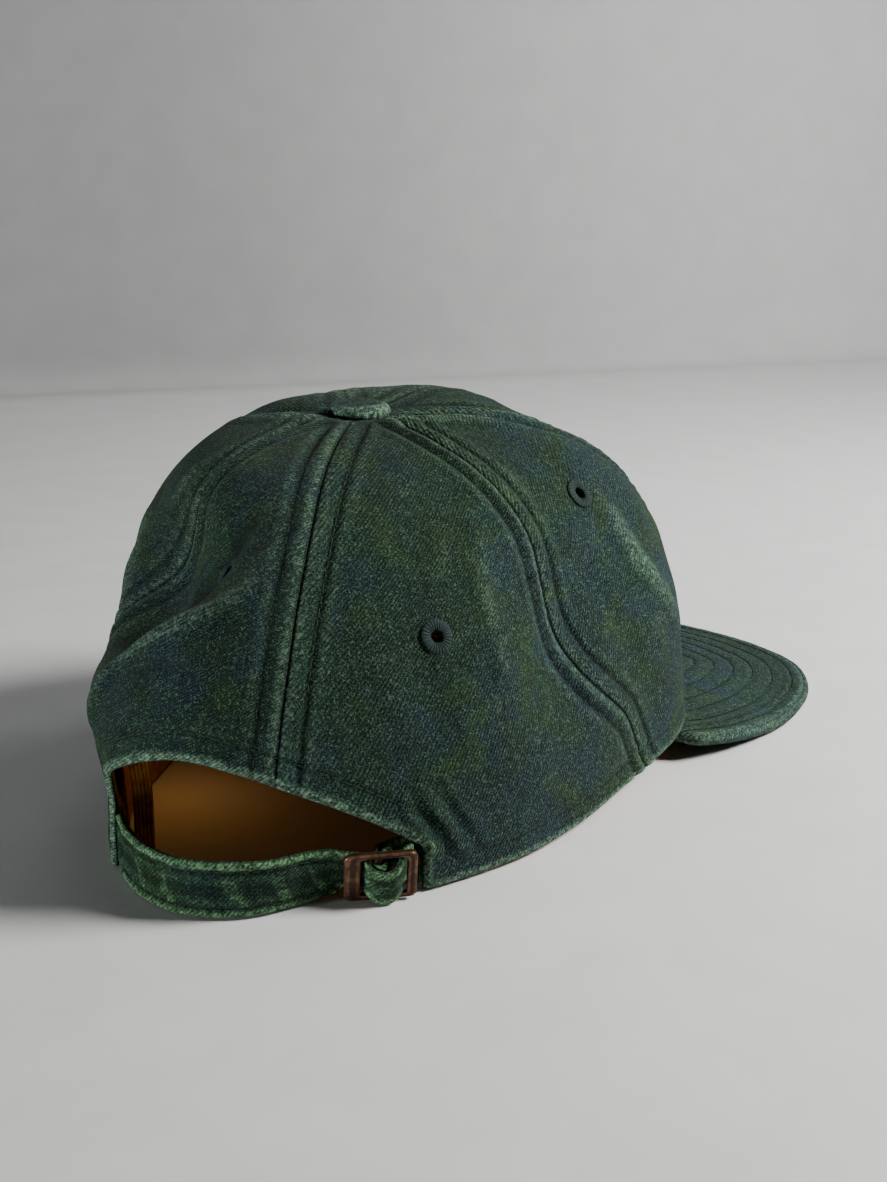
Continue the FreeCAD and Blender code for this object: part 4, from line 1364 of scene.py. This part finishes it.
def build_buckle():
    """Cast frame with rounded edges, a broad left bar and a round middle bar."""
    half = BUCKLE_HEIGHT / 2
    top = [(LEFT_BAR[0], half), (RIGHT_BAR[1], half), (RIGHT_BAR[1], -half), (LEFT_BAR[0], -half)]
    hole = [(LEFT_BAR[1], half - RAIL), (RIGHT_BAR[0], half - RAIL), (RIGHT_BAR[0], -half + RAIL),
            (LEFT_BAR[1], -half + RAIL)]

    def rounded(corners, radius, count=5):
        outline = []
        n = len(corners)
        for k in range(n):
            p = np.array(corners[k], float)
            a = unit(np.array(corners[k - 1], float) - p)
            b = unit(np.array(corners[(k + 1) % n], float) - p)
            centre = p + (a + b) * radius
            start = math.atan2(*(-b)[::-1])
            end = math.atan2(*(-a)[::-1])
            sweep = (end - start + math.pi) % (2 * math.pi) - math.pi
            for j in range(count):
                angle = start + sweep * j / (count - 1)
                outline.append(centre + radius * np.array([math.cos(angle), math.sin(angle)]))
        return np.array(outline)

    outer = rounded(top, 1.7, 7)
    inner = rounded(hole, 0.5, 7)
    # the frame is a loop whose section is a rounded bar between the two outlines
    section = np.linspace(0, 2 * math.pi, 20, endpoint=False)
    cos = np.sign(np.cos(section)) * np.abs(np.cos(section)) ** 0.45
    sin = np.sign(np.sin(section)) * np.abs(np.sin(section)) ** 0.45
    fine_outer, fine_inner = [], []
    for k in range(len(outer)):
        for j in range(6):
            fine_outer.append(outer[k] + (outer[(k + 1) % len(outer)] - outer[k]) * j / 6)
            fine_inner.append(inner[k] + (inner[(k + 1) % len(inner)] - inner[k]) * j / 6)
    fine_outer = np.array(fine_outer)
    fine_inner = np.array(fine_inner)
    middle = (fine_outer + fine_inner) / 2
    reach = (fine_outer - fine_inner) / 2
    flat = middle[:, None] + reach[:, None] * cos[None, :, None]
    level = BUCKLE_THICKNESS / 2 * sin[None, :] * np.ones(len(middle))[:, None]
    hammer = 0.05 * wave(np.stack([flat[..., 0], flat[..., 1], level], -1), 1.6, 3.0)
    points = on_buckle(flat[..., 0], level * (1 + hammer * 0.6), flat[..., 1])
    rubbed = np.abs(cos * sin)[None, :] * 2.2 + 0.25 * wave(points, 3.0, 1.0)
    loop = grid_object("buckle_frame", points, None, {"rubbed": rubbed}, wrap_rows=True, wrap_columns=True)
    fix_normals(loop)
    finish_piece(loop, BRONZE, ["buckle"], body="buckle")
    ends = np.linspace(-half + RAIL - 0.5, half - RAIL + 0.5, 24)
    path = on_buckle(0 * ends, 0 * ends, ends)
    swell = 1 + 0.22 * bell(np.abs(ends), half - RAIL + 0.5, 0.9)
    across = np.broadcast_to(BUCKLE_RUN, path.shape) * (CENTRE_BAR_RADIUS * swell)[:, None]
    outward = np.broadcast_to(BUCKLE_OUT, path.shape) * (CENTRE_BAR_RADIUS * swell)[:, None]
    bar = tube_object("buckle_middle_bar", path, across, outward, 16, {"rubbed": np.full(len(path), 0.3)})
    finish_piece(bar, BRONZE, body="buckle")


build_buckle()

STRAP_HEIGHT = 14.6
STRAP_THICKNESS = 2.0


def strap_path():
    """Rows of x, y, z, lean share, upper reach, lower reach and thickness along the strap."""
    before = on_buckle(-14.5, UNDER_LEVEL + 0.3)
    flat = [((22.7, 77.0), 0), ((18.4, 80.2), 0), ((13.0, 84.4), 0), ((6, 89.4), 0), ((-4, 93.6), 0),
            ((-14, 94.9), 0), ((-22, 93), 0.1), ((-29.5, 88.0), 0.3), ((-34.5, 81.6), 0.6),
            ((before[0], before[1]), 0.9)]
    half = STRAP_HEIGHT / 2
    rows = []
    for (x, y), lean in flat:
        angle = BUCKLE_LEAN * lean
        z = half * math.cos(angle) + STRAP_THICKNESS / 2 * math.sin(angle)
        rows.append((x, y, z, lean, half, half, STRAP_THICKNESS))
    # under the broad bar, a wide bulge over the middle bar, and under the far bar
    through = [(-11.2, UNDER_LEVEL + 0.05, 6.6, 6.4, 1.9), (-9.2, UNDER_LEVEL, 5.6, 5.5, 1.6),
               (-6.0, UNDER_LEVEL, 5.0, 5.0, 1.4), (-4.9, -2.95, 5.0, 5.0, 1.2), (-3.7, -1.9, 5.0, 5.0, 1.1),
               (-3.1, -0.4, 4.8, 4.9, 1.1), (-2.5, 1.2, 4.3, 5.0, 1.2), (-1.2, 2.3, 3.5, 6.1, 1.4),
               (0.6, 2.8, 3.0, 6.4, 1.4), (2.4, 2.7, 3.1, 6.3, 1.4), (3.9, 2.1, 3.8, 5.8, 1.4),
               (4.9, 0.9, 4.6, 5.0, 1.2), (5.25, -0.4, 4.9, 4.9, 1.1), (5.5, -1.8, 4.9, 4.9, 1.1),
               (6.4, -3.3, 5.0, 5.0, 1.2), (8.3, -4.8, 5.0, 5.0, 1.2)]
    for run, out, upper, lower, thickness in through:
        point = on_buckle(run, out)
        rows.append((point[0], point[1], point[2], 1.0, upper, lower, thickness))
    return np.array(rows)


# pale rubbed patches on the strap: (run along it, half width, strength)
STRAP_PATCHES = [(31.5, 1.5, 0.9), (40.5, 2.0, 1.0), (58.0, 1.8, 1.2), (68.5, 1.8, 1.2), (77.5, 1.3, 0.9),
                 (93.0, 2.6, 0.8)]


def strap_wear(run, across):
    """Pale rubbed patches that cross the strap at a slant."""
    worn = np.zeros(run.shape)
    for place, width, strength in STRAP_PATCHES:
        worn = np.maximum(worn, strength * bell(run + across * 0.42, place, width))
    ragged = 1 + 0.5 * flat_wave(run, across, 9, 2.2, 1.9)
    return worn * ragged * np.clip((4.6 - np.abs(across + 0.6)) / 1.6, 0, 1)


def strap_relief(run, across, edge):
    """Crinkles of the strap, with a sunk row of stitches and a thick fold at each edge."""
    crinkle = flat_wave(run, across * 0.5, 0, 4.2, 2.3) * (1 + 1.6 * bell(run, 8.0, 10.0))
    fine = flat_wave(run, across * 0.8, 5, 1.9, 7.1)
    groove = -0.42 * bell(edge, 2.3, 0.5) + 0.18 * bell(edge, 1.1, 0.7)
    return groove + 0.42 * crinkle * np.clip(edge / 2.5, 0.25, 1) + 0.13 * fine


# length of the strap that is pressed flat in the buckle
PRESSED_RUN = 33


def build_strap():
    """Strap from its seam through the buckle, its backing, and a row of stitches along each edge."""
    path = smooth_path(strap_path(), 0.55)
    centre = path[:, :3]
    tangent = unit(np.gradient(centre, axis=0))
    angle = BUCKLE_LEAN * path[:, 3]
    # the strap's width leans with the buckle as it comes near it
    level_out = unit(np.cross(tangent, UPWARD))
    up = unit(UPWARD * np.cos(angle)[:, None] + OUT_FLAT * np.sin(angle)[:, None])
    up = unit(up - tangent * (up * tangent).sum(-1, keepdims=True))
    out = unit(np.cross(tangent, up))
    out = out * np.where((out * level_out).sum(-1) < 0, -1, 1)[:, None]
    run = run_along(centre)
    sway = 0.35 * np.array([noise.noise(Vector((r / 9.0, 1.7, 4.1))) for r in run])
    upper = path[:, 4] + 0.5 * sway
    lower = path[:, 5] - 0.35 * (path[:, 5] > 7)

    def relief(along, across, edge):
        pressed = np.clip((along - run[-1] + PRESSED_RUN) / 4, 0, 1)
        return strap_relief(along, across, edge) * (1 - 0.8 * pressed)

    strap = band_object("strap_cloth", centre, up, out, upper, lower, path[:, 6], relief=relief,
                        face_step=0.5, edge_points=7, wear=strap_wear)
    # the sunk rows shade like the rows beside a seam
    attribute = strap.data.attributes["seam_mm"]
    edge = np.zeros(len(attribute.data))
    strap.data.attributes["edge_mm"].data.foreach_get("value", edge)
    attribute.data.foreach_set("value", np.minimum(np.abs(edge - 2.3) * 1.2 + 5.2, FAR).astype(np.float32))
    finish_piece(strap, GREEN_STRAP, ["strap", "strap_in_buckle"])
    # mustard backing that shows as a thin line below the strap
    free = run < run[-1] - 34
    backing = band_object("strap_backing", (centre - out * 1.05)[free], up[free], out[free], 6.6, 7.5, 0.7,
                          face_step=0.7)
    finish_piece(backing, MUSTARD)
    stitched = []
    for side in (1, -1):
        reach = (upper - 2.3) if side > 0 else -(lower - 2.3)
        line = centre + up * reach[:, None] + out * (path[:, 6] / 2 - 0.22)[:, None]
        even, way = resample(line, 2.9)
        stitched.append((even, way, unit(spread(out, len(even)))))
    finish_piece(stitch_rows("strap_stitches", stitched, 2.0, 0.36, 0.3), GREEN_THREAD)


build_strap()


def build_tab():
    """Tab sewn in at the right: a loop round the middle bar and a stem going under the panel."""
    half = 4.3
    loop = [(math.cos(a) * 1.45, math.sin(a) * 1.45) for a in [math.radians(d) for d in range(-90, 241, 30)]]
    lead = [(3.6, -5.6), (2.0, -4.8), (1.1, -3.9), (0.8, -2.6)]
    stem = [(-0.3, -2.6), (-0.35, -4.4), (0.3, -5.8), (2.0, -6.9), (6, -8.4), (11.2, -10.2)]
    both = lead + loop + stem
    path = smooth_path([(r, o, 0) for r, o in both], 0.35)
    centre = on_buckle(path[:, 0], path[:, 1])
    tangent = unit(np.gradient(centre, axis=0))
    up = np.broadcast_to(BUCKLE_UP, centre.shape)
    out = unit(np.cross(tangent, up))
    tab = band_object("tab_cloth", centre, up, out, half, half, 0.6, face_step=0.6)
    finish_piece(tab, GREEN_STRAP, ["buckle_tab"])


build_tab()

# the tail lies on the arc that its joint turns about: centre, radius and direction in degrees
TAIL_CENTRE = (63.765, -2.101)
TAIL_RADIUS = 128.734
TAIL_ANGLE = 156.85
TAIL_LEAD = 3.0
TAIL_LENGTH = 24.0


def build_tail():
    """Loose end of the strap in the pocket behind the sweatband."""
    lead = math.degrees(TAIL_LEAD / TAIL_RADIUS)
    sweep = math.degrees(TAIL_LENGTH / TAIL_RADIUS)
    angles = np.radians(TAIL_ANGLE - lead + np.linspace(0, sweep, 40))
    spoke = np.stack([np.cos(angles), np.sin(angles), angles * 0], -1)
    centre = np.array([TAIL_CENTRE[0], TAIL_CENTRE[1], 7.5]) + spoke * TAIL_RADIUS
    up = np.broadcast_to(UPWARD, centre.shape)
    tail = band_object("strap_tail_cloth", centre, up, spoke, 6.5, 6.5, 1.2, face_step=0.6)
    finish_piece(tail, GREEN, ["strap_tail"], body="tail")


build_tail()


# ------------------------------------------------ stitches on the crown
# distance of the stitched rows from the opening's edge, and their height above the hem
OPENING_ROW = 6.6
HEM_ROW = 6.8


def crown_stitches(azimuth, t, shift, step=3.0, lift=-0.72):
    """Row of stitches along a line on the crown, moved sideways by shift millimetres."""
    middle, normal = soft_crown(azimuth, t)
    tangent = unit(np.gradient(middle, axis=0))
    side = unit(np.cross(normal, tangent))
    line = middle + side * shift + normal * lift
    even, way = resample(line, step)
    return even, way, unit(spread(normal, len(even)))


def build_seam_stitches():
    """A row of stitches on each side of every seam."""
    for seam_name in SEAMS:
        foot_azimuth = float(seam_azimuth(seam_name, 1.0))
        foot = 0.985
        if seam_name == "back":
            foot = float(t_of_height(foot_azimuth, float(curve_value(ARCH_HEIGHT, foot_azimuth)) + 1.0))
        t = np.linspace(0.13, foot, 160)
        stitched = [crown_stitches(seam_azimuth(seam_name, t), t, side * SEAM_ROW) for side in (-1, 1)]
        rows = stitch_rows("seam_stitches_" + seam_name, stitched, 2.1, 0.34, 0.28)
        finish_piece(rows, GREEN_THREAD)


build_seam_stitches()


def build_edge_stitches():
    """Rows of stitches along the opening's edge and above the hem."""
    line, away = arch_frame()
    curve, normal = soft_crown(*onto_crown(line + away * OPENING_ROW), -0.32)
    keep = (curve[:, 2] > 1.5)
    even, way = resample(curve[keep], 3.0)
    facing = unit(spread(normal[keep], len(even)))
    finish_piece(stitch_object("opening_stitches", even, way, facing, 2.2), GREEN_THREAD)
    azimuth = np.arange(ARCH_RIGHT + 5, ARCH_LEFT + 360 - 4, 0.6)
    height = curve_value(HEM_HEIGHT, azimuth, True) + HEM_ROW
    t = t_of_height(azimuth, height)
    even, way, facing = crown_stitches(azimuth, t, 0.0, lift=-0.27)
    finish_piece(stitch_object("hem_stitches", even, way, facing, 2.2), GREEN_THREAD)


build_edge_stitches()

# the two CAD nodes that are shown as they are
for node_name, material in (("button_washer", METAL), ("visor_board", BOARD)):
    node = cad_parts[node_name]
    node.data.materials.clear()
    node.data.materials.append(material)


# ------------------------------------------- camera, surroundings, light
CAMERA_AZIMUTH = 216.0
CAMERA_ELEVATION = 16.0
CAMERA_DISTANCE = 480.0
CAMERA_TARGET = Vector((2, -35, 45))


def toward(azimuth, elevation):
    """Unit vector from the cap toward a viewer at that azimuth and elevation."""
    a, e = math.radians(azimuth), math.radians(elevation)
    return Vector((math.sin(a) * math.cos(e), -math.cos(a) * math.cos(e), math.sin(e)))


def place_camera():
    data = bpy.data.cameras.new("camera")
    data.lens = 50
    data.sensor_width = 36
    data.sensor_fit = "AUTO"
    data.clip_start = 0.01
    data.clip_end = 20
    camera = bpy.data.objects.new("camera", data)
    way = toward(CAMERA_AZIMUTH, CAMERA_ELEVATION)
    camera.location = (CAMERA_TARGET + way * CAMERA_DISTANCE) * MM
    camera.rotation_euler = way.to_track_quat("Z", "Y").to_euler()
    bpy.context.scene.collection.objects.link(camera)
    bpy.context.scene.camera = camera


# distances behind the cap as the camera sees it, and places across from right to left
FLOOR_FRONT = -2200
FLOOR_ROWS = (-600, 0, 400, 600, 690)
WALL_START = 735
WALL_CURVE = 45
WALL_TOP = 2600
WIDTHS = (-2000, -900, -300, 0, 300, 900, 2000)
# how far the wall comes forward toward the left, per length across
WALL_TURN = -0.28


def floor_and_wall():
    """Pale floor that curves up into a backdrop behind the cap."""
    back = -toward(CAMERA_AZIMUTH, 0)
    side = Vector((-back.y, back.x, 0))
    profile = [(d, 0) for d in (FLOOR_FRONT, *FLOOR_ROWS, WALL_START)]
    profile += [(WALL_START + WALL_CURVE * math.sin(a), WALL_CURVE * (1 - math.cos(a)))
                for a in np.linspace(0.1, math.pi / 2, 12)]
    profile += [(WALL_START + WALL_CURVE, z) for z in (600, WALL_TOP)]
    points = np.array([[tuple(back * (d + WALL_TURN * w * (d > 0)) + side * w + Vector((0, 0, z)))
                        for w in WIDTHS] for d, z in profile])
    behind = np.array([[d + z for w in WIDTHS] for d, z in profile])
    left = np.broadcast_to(WIDTHS, behind.shape)
    sheet = grid_object("floor_and_wall", points, values={"behind": behind, "left": left}, flip=True)
    # the backdrop colours hold painted shade: darker than the floor, and darkest at the left
    paper = surround_material("pale_floor", srgb(210, 210, 210), srgb(188, 188, 188), srgb(136, 136, 136))
    sheet.data.materials.append(paper)


def area_light(name, position, size, power, colour, target):
    data = bpy.data.lights.new(name, "AREA")
    data.shape = "DISK"
    data.size = size * MM
    data.energy = power
    data.color = colour
    light = bpy.data.objects.new(name, data)
    light.location = Vector(position) * MM
    light.rotation_euler = ((Vector(target) - Vector(position)).to_track_quat("-Z", "Y")).to_euler()
    bpy.context.scene.collection.objects.link(light)


CAP_MIDDLE = (0, -20, 40)
WHITE = (1, 1, 1)
# name, azimuth from the camera's, elevation, distance, size, power, colour, and what the light is aimed at
LIGHTS = [
    # from the viewer's right and above, so the shadow falls to the left
    ("key", 86, 38, 800, 280, 13.2, (1.0, 0.985, 0.96), CAP_MIDDLE),
    ("fill", -58, 2.6, 900, 76, 8.4, (0.96, 0.98, 1.0), CAP_MIDDLE),
    ("top", 150, 74, 1300, 600, 0.9, WHITE, CAP_MIDDLE),
    # for the far floor, the backdrop on the right and the top of the crown
    ("back", 128, 38, 680, 260, 1.7, WHITE, (610, -710, 60)),
]

floor_and_wall()
place_camera()
for light_name, azimuth, elevation, distance, size, power, colour, target in LIGHTS:
    position = toward(CAMERA_AZIMUTH + azimuth, elevation) * distance
    area_light(light_name, position, size, power, colour, target)
# the warm light that the mustard cloth inside the cap throws onto the table
area_light("inside", (34, 42, 34), 10, 0.0021, (1.0, 0.46, 0.10), (27, 62, 0))

world = bpy.data.worlds.new("studio")
world.use_nodes = True
background = world.node_tree.nodes["Background"]
background.inputs["Color"].default_value = (0.9, 0.95, 1.0, 1.0)
background.inputs["Strength"].default_value = 0.02
bpy.context.scene.world = world
